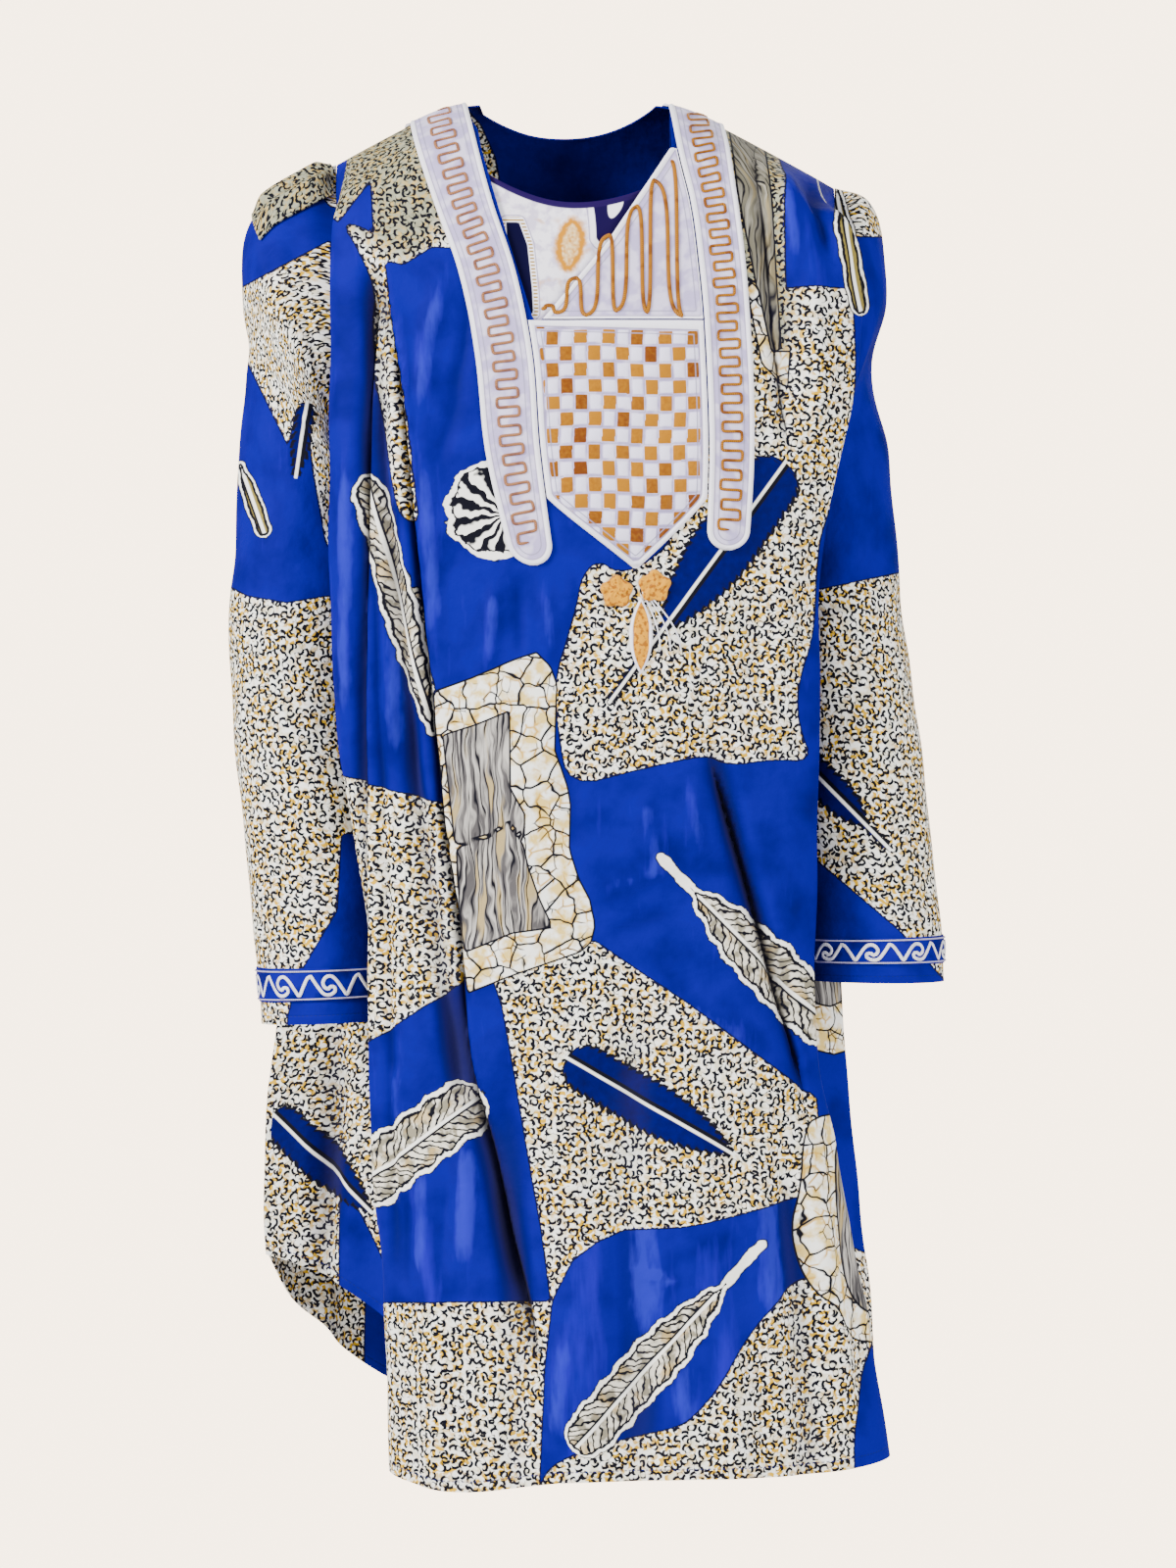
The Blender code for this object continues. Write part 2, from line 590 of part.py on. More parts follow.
def sleeve(side, at, turns=None):
    """Points and outward normals of a sleeve at rings `at`, all round or at shares of a turn."""
    rings = sleeve_rings(side)
    own = ring_turns(side)
    found = np.array([curve(at, np.arange(len(rings)), rings[:, i]) for i in range(len(own))])
    wrap = turns is None
    if wrap:
        turns = own
    else:
        before = own >= 0.5
        knots = np.concatenate([own[before] - 1, own, own[~before] + 1])
        found = curve(turns, knots, np.concatenate([found[before], found, found[~before]]))
    points = found.transpose(1, 0, 2)
    normal = grid_normals(points, wrap) * (-1 if side == "right" else 1)
    height = creases(at[:, None], turns[None, :]) * ease(at[:, None] / 2)
    return points + normal * height[..., None], normal


def make_sleeve(side):
    count = len(SLEEVES[side])
    middle, normal = sleeve(side, spaced((0, 3, 5), (3, count, 11)))
    normal[0, :, 0] = 0
    normal = unit(normal)
    solid("sleeve_" + side, "sleeve_cloth", middle + normal * WALL / 2, middle - normal * WALL / 2, True)
    middle, normal = sleeve(side, count - np.array(CUFF_RINGS))
    lift = WALL / 2 + SEAM
    solid("cuff_band_" + side, "cuff_cloth", middle + normal * (lift + BAND), middle + normal * lift, True)


# ---------------------------------------------------------------- pieces that lie on a panel
def make_trim(name, slot, side, x, z, thickness=TRIM, wrap=False, gap=TRIM_GAP):
    """A plate over a panel, from grids of x and z."""
    sections, rows = (FRONT, FRONT_FOLDS) if side < 0 else (BACK, BACK_FOLDS)
    s, drop = place(sections, side, x, z)
    middle, normal = folded(sections, rows, side, s, drop)
    lift = WALL / 2 + gap
    raised = np.broadcast_to(lift + thickness, x.shape)[..., None]
    solid(name, slot, middle + normal * raised, middle + normal * lift, wrap)


def make_neck_bands():
    share = np.linspace(0, 1, 5)
    for side, data in NECK_BANDS.items():
        low = data["z"][-1]
        level = column_heights(0.0, -1.0, side == "right", 1)
        level = np.concatenate([level[level >= UNDERARM], np.linspace(UNDERARM, low, 6)[1:]])
        z = np.repeat(level[:, None], len(share), axis=1)
        for _ in range(8):
            inner = curve(z, data["z"], data["inner"])
            outer = curve(z, data["z"], data["outer"])
            half = (outer - inner) / 2
            from_end = np.clip((level[:, None] - low) / np.abs(half), 0.12, 1)
            half = half * np.sqrt(1 - (1 - from_end) ** 2)
            x = (inner + outer) / 2 + half * (2 * share - 1)
            top = shoulder_height(at_shoulder(place(FRONT, -1, x, z)[0]))
            z = np.stack([column_heights(top[i], low, side == "right", 5)[i] for i in range(len(level))])
        make_trim("neck_band_" + side, "embroidery_ground", -1, x, z, gap=BAND_GAP)


def band_edge(side, edge, z):
    return curve(z, NECK_BANDS[side]["z"], NECK_BANDS[side][edge])


def make_back_band():
    turn = np.linspace(0, math.pi, 21)[:, None]
    share = np.linspace(0, 1, 5)[None, :]
    reach = NECK_HALF + SIDE_GAP + (BACK_BAND_REACH - NECK_HALF) * share
    x = reach * np.cos(turn)
    drop = (NECK_DROP + SIDE_GAP + BACK_BAND_WIDTH * share) * np.sin(turn) ** 2
    z = shoulder_height(reach) * np.cos(turn) ** 2 - drop
    z = np.minimum(z, shoulder_height(x))
    make_trim("neck_band_back", "embroidery_ground", 1, x, z, gap=BAND_GAP)


def make_flap_and_shield():
    share = np.linspace(0, 1, 6)[None, :]
    z = np.linspace(FLAP_TOP, SHIELD_TOP + 0.001, 9)[:, None]
    left = np.interp(-z, -NECKLINE["z"][1:], NECKLINE["left"][1:]) + 0.0004
    right = band_edge("left", "inner", z) - 1.2 * SIDE_GAP
    make_trim("neck_flap", "embroidery_ground", -1, left + (right - left) * share, z + 0 * share)
    z = spaced((SHIELD_TOP, SHIELD_CORNERS, 9), (SHIELD_CORNERS, SHIELD_POINT[1], 6))[:, None]
    narrowing = np.clip((SHIELD_CORNERS - z) / (SHIELD_CORNERS - SHIELD_POINT[1]), 0, 1) ** 1.15
    left = band_edge("right", "inner", z) + SIDE_GAP
    right = band_edge("left", "inner", z) - SIDE_GAP
    left = left + (SHIELD_POINT[0] - 0.0015 - left) * narrowing
    right = right + (SHIELD_POINT[0] + 0.0015 - right) * narrowing
    share = np.linspace(0, 1, 9)[None, :]
    make_trim("bib_shield", "embroidery_ground", -1, left + (right - left) * share, z + 0 * share)


def disc(name, centre, radius, relief):
    """A round piece on the front: `radius` is a function of the turn, `relief` of share and turn."""
    turn = np.arange(20) / 20 * 2 * math.pi
    share = np.linspace(0, 1, 5)[:, None]
    reach = radius(turn) * share
    x = centre[0] + reach * np.sin(turn)
    z = centre[1] + reach * np.cos(turn)
    make_trim(name, "gold_thread", -1, x, z, TRIM + relief(share, turn), True)


def make_rosettes_and_leaf():
    def petals(turn):
        return ROSETTE_RADIUS * (1 + 0.10 * np.cos(5 * turn))

    def domed(share, turn):
        return BULGE * (1 - share**2 + 0.4 * np.cos(5 * turn) * share)

    def leaf(turn):
        return LEAF_HALF_WIDTH + LEAF_POINTS * np.abs(np.cos(turn)) ** 3

    def ridge(share, turn):
        return BULGE * (1 - share**2) + 0 * turn

    disc("rosette_right", ROSETTE_RIGHT, petals, domed)
    disc("rosette_left", ROSETTE_LEFT, petals, domed)
    disc("bib_leaf", LEAF, leaf, ridge)


def make_inset():
    """The white inset behind the V: a sheet on the front panel's form, moved in."""
    x = np.linspace(INSET_RIGHT, INSET_LEFT, 12)[None, :]
    across = (x - INSET_RIGHT) / (INSET_LEFT - INSET_RIGHT)
    top = INSET_TOP - INSET_SAG * np.sin(math.pi * across) ** 0.8
    low = np.minimum(neckline_height(x), top) - INSET_LOW_LAP
    share = np.linspace(0, 1, 8)[:, None]
    s, drop = place(FRONT, -1, x, top + (low - top) * share)
    middle, normal = folded(FRONT, FRONT_FOLDS, -1, s, drop)
    lift = WALL / 2 + INSET_GAP
    solid("neck_inset", "inset_cloth", middle - normal * lift, middle - normal * (lift + WALL))


def make_gather():
    """The turn of gathered cloth that lies on the head of the right sleeve."""
    at = np.linspace(*GATHER_RINGS, 7)
    turns = np.linspace(*GATHER_TURNS, 19)
    middle, normal = sleeve("right", at, turns)
    pleat = (turns[None, :] - GATHER_LEAN * at[:, None]) / GATHER_PITCH
    lift = WALL / 2 + 2 * SEAM + GATHER_RISE * (1 + np.cos(2 * math.pi * pleat))[..., None]
    solid("shoulder_gather", "print_cloth", middle + normal * (lift + WALL), middle + normal * lift)


def build():
    for existing in list(bpy.data.objects):
        bpy.data.objects.remove(existing, do_unlink=True)
    make_panels()
    for side in ("right", "left"):
        make_sleeve(side)
    make_neck_bands()
    make_back_band()
    make_flap_and_shield()
    make_rosettes_and_leaf()
    make_inset()
    make_gather()


build()
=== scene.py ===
# %% [markdown]
# # A grand boubou in printed cotton
#
# A grand boubou is a wide over-robe: a front and a back panel joined at the shoulders, long
# sleeves, and a broad embroidered neck that carries most of the decoration. The cloth is cotton
# printed in patches: royal blue, cream speckled with small ticks, cracked stone, wood grain, and
# large feathers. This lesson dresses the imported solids: it works the same cloth out again on a
# finer grid, adds the small folds, and paints the print by distance, so that it stays sharp at
# any size.

import math

import bmesh
import bpy
import numpy as np
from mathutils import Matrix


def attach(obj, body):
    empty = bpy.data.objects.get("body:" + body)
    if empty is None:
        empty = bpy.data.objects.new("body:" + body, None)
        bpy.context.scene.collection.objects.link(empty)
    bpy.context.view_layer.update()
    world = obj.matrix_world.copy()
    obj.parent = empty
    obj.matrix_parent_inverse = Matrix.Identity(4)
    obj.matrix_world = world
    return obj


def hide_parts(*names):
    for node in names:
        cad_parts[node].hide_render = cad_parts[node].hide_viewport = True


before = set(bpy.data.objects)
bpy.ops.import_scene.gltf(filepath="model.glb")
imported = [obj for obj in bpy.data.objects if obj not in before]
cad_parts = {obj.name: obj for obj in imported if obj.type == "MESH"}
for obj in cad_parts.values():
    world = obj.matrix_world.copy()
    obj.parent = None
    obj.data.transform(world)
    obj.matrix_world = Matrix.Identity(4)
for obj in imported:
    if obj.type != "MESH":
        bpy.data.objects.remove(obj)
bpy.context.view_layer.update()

# %% [markdown]
# ## The studio
#
# A robe looks its best from a few metres away through a long lens, so that the near chest is not
# drawn much larger than the sleeves. The camera stands at chest height, 4.5 m away. The light is
# one large soft panel on the left, high up, that draws the folds, a weaker one on the right, and
# a pale room. The floor lies under the feet of the wearer, who isn't here.

# %% Camera
EYE_DISTANCE = 4.5  # from the camera to the plane on which sizes are true
TRUE_PLANE = -0.05  # where that plane lies, in y: just in front of the arms
MIDDLE = (0.0179, -0.505)  # x and z at the middle of the view
VIEW_HEIGHT = 1.1560  # height of the view on the true plane
EYE_HEIGHT = -0.40


def added(name, data):
    """A new object with this data, linked to the scene."""
    thing = bpy.data.objects.new(name, data)
    bpy.context.scene.collection.objects.link(thing)
    return thing


camera = added("camera", bpy.data.cameras.new("camera"))
camera.data.sensor_width = 36
camera.data.lens = 36 * EYE_DISTANCE / VIEW_HEIGHT
camera.location = (MIDDLE[0], TRUE_PLANE - EYE_DISTANCE, EYE_HEIGHT)
camera.rotation_euler = (math.pi / 2 + math.atan((MIDDLE[1] - EYE_HEIGHT) / EYE_DISTANCE), 0, 0)
bpy.context.scene.camera = camera
print("lens, mm:", round(camera.data.lens, 1))

# %% Lights, room and floor
def panel_light(name, place, target, size, power):
    """A square area light at `place`, turned to `target`."""
    light = added(name, bpy.data.lights.new(name, "AREA"))
    light.data.size = size
    light.data.energy = power
    light.location = place
    way = np.array(target) - np.array(place)
    tilt = math.atan2(math.hypot(way[0], way[1]), -way[2])
    light.rotation_euler = (tilt, 0, math.atan2(way[1], way[0]) - math.pi / 2)


# name, place, target, size in metres, power in watts
panel_light("key", (-2.9, -1.9, 1.2), (0, 0, -0.45), 1.3, 340)
panel_light("fill", (2.6, -2.7, 0.3), (0, 0, -0.5), 2.2, 185)
panel_light("back", (0.6, 2.8, 1.2), (0, 0, -0.4), 2.0, 34)


def fill(tree, socket, value):
    """Gives a socket a plain number, a colour, or what another node works out."""
    if isinstance(value, tuple):
        socket.default_value = (*value, 1)
    elif isinstance(value, (int, float)):
        socket.default_value = value
    else:
        tree.links.new(getattr(value, "socket", value), socket)


def add_node(tree, kind, *inputs, **settings):
    """A new shader node; `inputs` fill its first sockets, and `settings` are named."""
    node = tree.nodes.new("ShaderNode" + kind)
    for name, value in settings.items():
        if name in node.inputs:
            fill(tree, node.inputs[name], value)
        else:
            setattr(node, name, value)
    for socket, value in zip(node.inputs, inputs):
        fill(tree, socket, value)
    return node


ROOM_COLOUR = (0.95, 0.96, 1.0)  # what lights the robe
ROOM_STRENGTH = 0.66
BACKDROP_COLOUR = (1.0, 0.80, 0.60)  # what the camera sees behind it
BACKDROP_STRENGTH = 6.3
world = bpy.data.worlds.new("room")
world.use_nodes = True
tree = world.node_tree
room = tree.nodes["Background"]
fill(tree, room.inputs["Color"], ROOM_COLOUR)
fill(tree, room.inputs["Strength"], ROOM_STRENGTH)
backdrop = add_node(tree, "Background", BACKDROP_COLOUR, BACKDROP_STRENGTH)
seen = add_node(tree, "LightPath").outputs["Is Camera Ray"]
both = add_node(tree, "MixShader", seen, room.outputs[0], backdrop.outputs[0])
fill(tree, tree.nodes["World Output"].inputs["Surface"], both.outputs[0])
bpy.context.scene.world = world

FLOOR = -1.40
FLOOR_RADIUS = 1.6
floor_mesh = bpy.data.meshes.new("floor")
turn = np.linspace(0, 2 * math.pi, 64, endpoint=False)
rim = np.stack([FLOOR_RADIUS * np.cos(turn), FLOOR_RADIUS * np.sin(turn), 0 * turn + FLOOR], 1)
floor_mesh.from_pydata(rim.tolist(), [], [list(range(64))])
floor = added("floor", floor_mesh)
floor_paint = bpy.data.materials.new("pale_floor")
floor_paint.use_nodes = True
paint = floor_paint.node_tree.nodes["Principled BSDF"].inputs
paint["Base Color"].default_value = (0.8, 0.785, 0.76, 1)
paint["Roughness"].default_value = 0.9
floor_mesh.materials.append(floor_paint)

# %% [markdown]
# ## The cloth as a function of two numbers
#
# Each panel is worked out from short tables of cross-sections. `s` runs across a panel, from -1
# at the right side seam to 1 at the left one, and `drop` is the fall below the shoulder seam.
# Working in these two numbers has one great merit: the same function gives a coarse wall, a fine
# one, and the ground under every piece of embroidery.

# %% Driving sizes, metres
WALL = 0.002  # thickness of the solids' cloth
INSIDE = 0.0002  # how far the dressed cloth's inner face lies behind the middle of that wall
SEAM = 0.0003  # gap between neighbouring pieces
TRIM_GAP = 0.0005  # gap under an embroidered piece
BAND_GAP = 0.0008  # gap under a neck band, which turns over the shoulder
INSET_GAP = 0.0012  # gap between the front panel and the inset behind it
TRIM = 0.0016  # thickness of a rosette or of the leaf at its edge
BAND = 0.0012  # thickness of a cuff band
SHOULDER_ROUND = 0.055  # height over which the cloth turns over the shoulder
NECK_HALF = 0.072  # half width of the neck hole at the shoulder seam
NECK_DROP = 0.022  # how far the back neckline hangs below the shoulder seam
SLOPE_START = 0.085  # distance from the middle at which the shoulder begins to slope
SLOPE = 0.55  # fall of the shoulder for each metre outwards
SLOPE_EASE = 0.0004  # square metres; the larger, the rounder the start of the slope
WING_AT = 0.74  # share of a half panel that lies between its middle and the wing's fold
WING_OPENS = 0.060  # drop below the shoulder over which the wing's fold opens
ARMHOLE_HALF = 0.060  # half depth of an armhole
ARMHOLE_ROUND = 0.75  # power that rounds the armhole; 0.5 is an ellipse
UNDERARM = -0.275  # height of the underarm
TURN_STEPS = 5  # rows of the cloth's turn over the shoulder
ARMHOLE_STEPS = 12  # rows from the shoulder seam to the underarm


def table(columns, rows, parts=1000):
    """Columns by name, from rows of millimetres, or of whole units where `parts` is 1."""
    return dict(zip(columns.split(), np.array(rows, float).T / parts))


# %% Cross-sections of the two panels, by height
# A half panel runs from its middle, `depth` in front of the arms' line,
# out to the fold of its wing at (x, y), and from there in to the side seam.
FRONT = table("z depth right_x right_y left_x left_y", [
    (0, 74, 162, 46, 200, 46), (-60, 96, 166, 66, 206, 70), (-120, 114, 169, 82, 217, 84),
    (-220, 128, 170, 88, 211, 90), (-320, 134, 170, 90, 190, 90), (-460, 134, 165, 90, 186, 90),
    (-610, 136, 147, 96, 184, 92), (-700, 140, 142, 100, 184, 90), (-770, 144, 138, 102, 199, 84),
    (-890, 156, 129, 106, 222, 76), (-1020, 168, 125, 108, 243, 72),
])
BACK = table("z depth right_x right_y left_x left_y", [
    (0, 72, 160, 46, 194, 46), (-60, 94, 164, 66, 198, 70), (-120, 112, 170, 80, 200, 82),
    (-220, 126, 180, 86, 200, 86), (-320, 130, 190, 86, 198, 86), (-460, 134, 200, 84, 200, 82),
    (-610, 142, 211, 78, 206, 78), (-700, 150, 219, 74, 212, 74), (-800, 160, 227, 66, 220, 70),
    (-890, 172, 224, 62, 230, 66), (-1020, 190, 212, 60, 240, 62),
])

SECTIONS = {-1: FRONT, 1: BACK}  # a panel's side is -1 for the front and 1 for the back

# %% Side seams and hem
# Distance of the armholes and side seams from the middle.
SIDE_SEAM = table("z right_x left_x", [
    (0, 168, 200), (-60, 167, 200), (-120, 160, 186), (-200, 152, 168), (-280, 142, 157),
    (-360, 128, 154), (-500, 119, 154), (-620, 110, 154), (-700, 102, 160), (-770, 100, 178),
    (-890, 100, 205), (-1020, 98, 222),
])
# Height of the hem, by place across: -1 and 1 are the side seams, 0 the middle.
HEM = table("across front back", [
    (-1, -1.006, -0.958), (-0.86, -1.004, -0.905), (-0.74, -1.004, -0.864), (-0.55, -1.008, -0.905),
    (-0.3, -1.014, -0.972), (0, -1.006, -0.996), (0.4, -1.004, -1.002), (0.74, -0.998, -0.998),
    (1, -1, -0.998),
], 1)

# %% The largest folds
# x and z of a line's top and low end, its sideways bow, its half width, its rise (a negative
# rise is a trough) and the length over which it fades out at each end, millimetres.
FRONT_FOLDS = [
    (-140, -110, -71, -760, -10, 13, -10, 50), (-71, -700, -20, -900, 0, 16, -8, 60),
    (-122, -150, -88, -560, -6, 12, 6, 80), (-146, -200, -122, -900, 4, 8, -5, 100),
    (148, -55, 164, -260, 3, 14, -6.5, 50), (180, -70, 186, -260, 0, 14, 5, 50),
    (104, -450, 178, -700, -6, 14, -9, 50), (-45, -690, -36, -1060, 6, 20, -6, 80),
    (0, -640, 12, -1080, 8, 30, 7, 120), (56, -600, 62, -1080, -6, 26, -7, 120),
    (100, -720, 128, -1080, 0, 28, 8, 120), (150, -740, 186, -1080, 4, 20, -8, 80),
    (-96, -760, -86, -1080, 0, 20, 6, 100),
]
BACK_FOLDS = [
    (-150, -160, -190, -1000, 4, 18, -8, 80), (-110, -120, -130, -1020, 6, 20, 7, 100),
    (-60, -240, -70, -1080, -6, 22, -8, 120), (-14, -360, -6, -1080, 4, 26, 7, 140),
    (40, -220, 56, -1080, 6, 22, -8, 120), (92, -140, 114, -1080, -4, 22, 8, 100),
    (140, -120, 176, -1080, 0, 18, -8, 80),
]

# %% Sleeves
# Rings of a sleeve, millimetres: x and z of the inner end of each ring and of its outer end, its
# half depth, and the y of its middle.
SLEEVES = {
    "right": [
        (160, -282, 190, -56, 62, 0), (154, -290, 222, -74, 64, 0), (149, -297, 238, -102, 64, 0),
        (146, -305, 239, -150, 62, -2), (143, -318, 233, -192, 58, -4), (141, -340, 240, -250, 56, -6),
        (140, -375, 245.5, -325, 55, -8), (139, -415, 247.5, -375, 54, -10),
        (138, -465, 246, -440, 53, -14), (135, -525, 240, -510, 52, -20), (130, -590, 232, -585, 50, -28),
        (127, -640, 226, -643, 48, -34), (125, -678, 222, -682, 47, -38),
    ],
    "left": [
        (176, -290, 224, -72, 63, 0), (171, -297, 236, -100, 64, 0), (169, -305, 239, -150, 62, -2),
        (168, -318, 230, -196, 58, -3), (168, -338, 238, -252, 57, -4), (169, -372, 246, -322, 56, -6),
        (170, -412, 252, -378, 55, -8), (172, -462, 259.5, -438, 53, -12),
        (174, -522, 268, -508, 51, -18), (177, -580, 275, -574, 49, -24), (180, -620, 279, -619, 48, -30),
        (182, -650, 281, -651, 47, -34),
    ],
}
# Creases of a sleeve: a trough across it at ring `at`, `turns` round from the outer side.
CREASES = table("at turn half_turn length rise slant", [
    (3.9, 0.1, 0.22, 0.7, -0.004, 0.8), (5.6, 0.3, 0.2, 0.6, -0.003, 1),
    (7.1, 0.05, 0.18, 0.5, -0.003, -1), (8.2, 0.62, 0.22, 0.6, -0.0035, 0.8),
    (9.4, 0.25, 0.2, 0.5, -0.0025, -0.8),
], 1)

# %% The V and its bands
# The V neckline and the two neck bands, by height: edges of the V, then each band's edges.
NECKLINE = table("z right left", [
    (1, -73.5, 78.5), (-40, -60.5, 78), (-110, -39.5, 31.5), (-168, -21.5, -16.5),
])
NECK_BANDS = {
    "right": table("z inner outer", [
        (0, -72.5, -117), (-40, -62.5, -107.5), (-80, -51.5, -94.5), (-130, -35, -76.5),
        (-190, -22.8, -64.2), (-260, -17.2, -56.6), (-345, -6, -37),
    ]),
    "left": table("z inner outer", [
        (0, 76.5, 115), (-40, 83, 120.5), (-80, 92.5, 127), (-130, 99, 132.5), (-190, 103.5, 136.8),
        (-260, 105.5, 138.2), (-334, 103.5, 134),
    ]),
}
SHIELD_TOP = -0.1675
SHIELD_CORNERS = -0.296  # below this height the shield narrows to its point
SHIELD_POINT = (0.0523, -0.347)
FLAP_TOP = -0.042
INSET_RIGHT = -0.070  # ends of the inset, under the front panel
INSET_LEFT = 0.094
INSET_TOP = -0.046  # height of the inset's ends
INSET_SAG = 0.034  # how far its top edge hangs in the middle
INSET_LOW_LAP = 0.036  # how far it runs down behind the V's edge
INSET_THICK = 0.0012
GATHER_RISE = 0.0025  # half height of the gathers on the shoulder
GATHER_PITCH = 0.060  # one gather, as a share of a turn round the sleeve
GATHER_RINGS = (0.15, 2.4)  # first and last ring of the sleeve under the gathers
GATHER_TURNS = (-0.15, 0.105)  # their reach round the sleeve, from the back to the front
GATHER_LEAN = 0.012  # lean of the gathers, in turns for each ring
CUFF_RINGS = (1.05, 0.75, 0.45)  # places of the cuff band, in rings from the sleeve's end
BACK_BAND_REACH = 0.1165  # distance from the middle of the back band's outer edge
BACK_BAND_WIDTH = 0.038  # its width in the middle of the back
SIDE_GAP = 0.0010  # gap between pieces that lie side by side
ROSETTE_RADIUS = 0.0112
ROSETTE_RIGHT = (0.0385, -0.3640)  # centres of the pieces below the shield
ROSETTE_LEFT = (0.0660, -0.3600)
LEAF = (0.0560, -0.3960)
LEAF_HALF_WIDTH = 0.0085
LEAF_POINTS = 0.0135  # how far the leaf's two points reach past that
BULGE = 0.0010  # how far these pieces rise in the middle

# %% Smooth curves through a few numbers
def curve(at, knots, values):
    """Smooth curve through (knots, values), flat outside them: cubic, with the chord's slopes."""
    order = np.argsort(knots)
    knots = np.asarray(knots, float)[order]
    values = np.asarray(values, float)[order]
    slopes = np.gradient(values, knots, axis=0)
    at = np.clip(at, knots[0], knots[-1])
    i = np.clip(np.searchsorted(knots, at, side="right") - 1, 0, len(knots) - 2)
    width = knots[i + 1] - knots[i]
    u = (at - knots[i]) / width
    if values.ndim > 1:
        tail = (1,) * (values.ndim - 1)
        u = u.reshape(u.shape + tail)
        width = width.reshape(width.shape + tail)
    start = (2 * u**3 - 3 * u**2 + 1) * values[i] + (u**3 - 2 * u**2 + u) * width * slopes[i]
    end = (3 * u**2 - 2 * u**3) * values[i + 1] + (u**3 - u**2) * width * slopes[i + 1]
    return start + end


def ease(v):
    """0 to 1, flat at both ends."""
    v = np.clip(v, 0.0, 1.0)
    return v * v * (3 - 2 * v)


def quarter_round(v, least=0.0):
    """0 to 1 as a quarter circle rises: sqrt(1 - (1 - v)^2)."""
    return np.sqrt(1 - (1 - np.clip(v, least, 1)) ** 2)


# %% Heights and distances
def by_side(data, name, right, z):
    """Column `name` of a table at height z, for the right half where `right` is true."""
    on_right = curve(z, data["z"], data["right_" + name])
    on_left = curve(z, data["z"], data["left_" + name])
    return np.where(right, on_right, on_left)


def shoulder_height(x):
    """Height of the shoulder seam at a distance x from the middle, eased where the slope begins."""
    out = np.abs(x) - SLOPE_START
    return -SLOPE * 0.5 * (out + np.sqrt(out * out + SLOPE_EASE))


def tip(right):
    """Distance from the middle of the shoulder seam's outer end."""
    return np.where(right, SIDE_SEAM["right_x"][0], SIDE_SEAM["left_x"][0])


def armhole(right, z):
    """Half depth of the armhole at height z: a lens from the shoulder to the underarm."""
    top = shoulder_height(tip(right))
    middle = (top + UNDERARM) / 2
    half = (top - UNDERARM) / 2
    return ARMHOLE_HALF * np.clip(1 - ((z - middle) / half) ** 2, 0, None) ** ARMHOLE_ROUND


# %% A panel without folds
def at_shoulder(s):
    """Signed place along the shoulder seam for a place s across the panel."""
    return np.sign(s) * tip(s < 0) * np.sin(np.abs(s) * math.pi / 2) ** 0.92


def panel(side, s, drop):
    """Points of a panel without folds.

    s runs from -1 at the right side seam to 1 at the left one. `drop` is the height below the
    shoulder seam. Out to the wing's fold the section is a quarter ellipse, then it eases inwards
    to the seam. Over the shoulder it all shrinks to the seam's line in a quarter round.
    """
    s, drop = np.broadcast_arrays(np.asarray(s, float), np.asarray(drop, float))
    right = s < 0
    x_seam = at_shoulder(s)
    z = shoulder_height(x_seam) - drop
    sections = SECTIONS[side]
    wing_x = by_side(sections, "x", right, z)
    wing_y = by_side(sections, "y", right, z)
    depth = curve(z, sections["z"], sections["depth"])
    seam_x = by_side(SIDE_SEAM, "x", right, z)
    seam_y = armhole(right, z) + SEAM / 2
    angle = np.clip(np.abs(s) / WING_AT, 0, 1) * math.pi / 2
    beyond = np.clip((np.abs(s) - WING_AT) / (1 - WING_AT), 0, 1)
    x = wing_x * np.sin(angle) + (seam_x - wing_x) * ease(beyond**0.6)
    y = np.where(beyond > 0, wing_y + (seam_y - wing_y) * beyond, wing_y + (depth - wing_y) * np.cos(angle))
    opened = ease(drop / WING_OPENS)
    x = x_seam + (np.sign(s) * x - x_seam) * opened
    y = side * (SEAM / 2 + (y - SEAM / 2) * quarter_round(drop / SHOULDER_ROUND))
    return np.stack([x, y, z], axis=-1)


# %% Outward directions
def unit(v):
    """Vectors of length 1 with the same directions."""
    return v / np.maximum(np.linalg.norm(v, axis=-1, keepdims=True), 1e-12)


def normals_of(surface, side, s, drop):
    """Unit outward normals of surface(s, drop), from small steps along it; level at the seams."""
    step = 0.003
    fall = 0.005
    left, right = np.minimum(s + step, 1), np.maximum(s - step, -1)
    low = np.maximum(drop - fall, 0)
    across = surface(left, drop) - surface(right, drop)
    normal = side * unit(np.cross(across, surface(s, low + 2 * fall) - surface(s, low)))
    seam = (drop < 1e-6) | (np.abs(s) > 1 - 1e-6)
    normal[..., 1] = np.where(seam, 0, normal[..., 1])
    return unit(normal)


# %% Folds, and finding a place on the cloth
FOLDS_BEGIN = 0.03  # drop over which folds and creases rise, below the shoulder seam
FOLDS_END = (0.80, 0.12)  # where across the folds begin to flatten towards the seam, and how long
CREASES_END = (0.78, 0.14)  # the same for the small creases
HALVINGS = 26  # enough to find a place to a hundredth of a micrometre


def folds(rows, x, z):
    """Height of the folds at (x, z): round ridges and troughs beside their own lines."""
    total = np.zeros(np.broadcast(x, z).shape)
    for x_top, z_top, x_low, z_low, bow, width, rise, fade in np.array(rows) / 1000:
        t = (z_top - z) / (z_top - z_low)
        line = x_top + (x_low - x_top) * t + bow * np.sin(math.pi * np.clip(t, 0, 1))
        beside = np.clip(np.abs(x - line) / width, 0, 1)
        along = ease((z_top - z) / fade) * ease((z - z_low) / fade)
        total = total + rise * along * np.cos(beside * math.pi / 2) ** 2
    return total


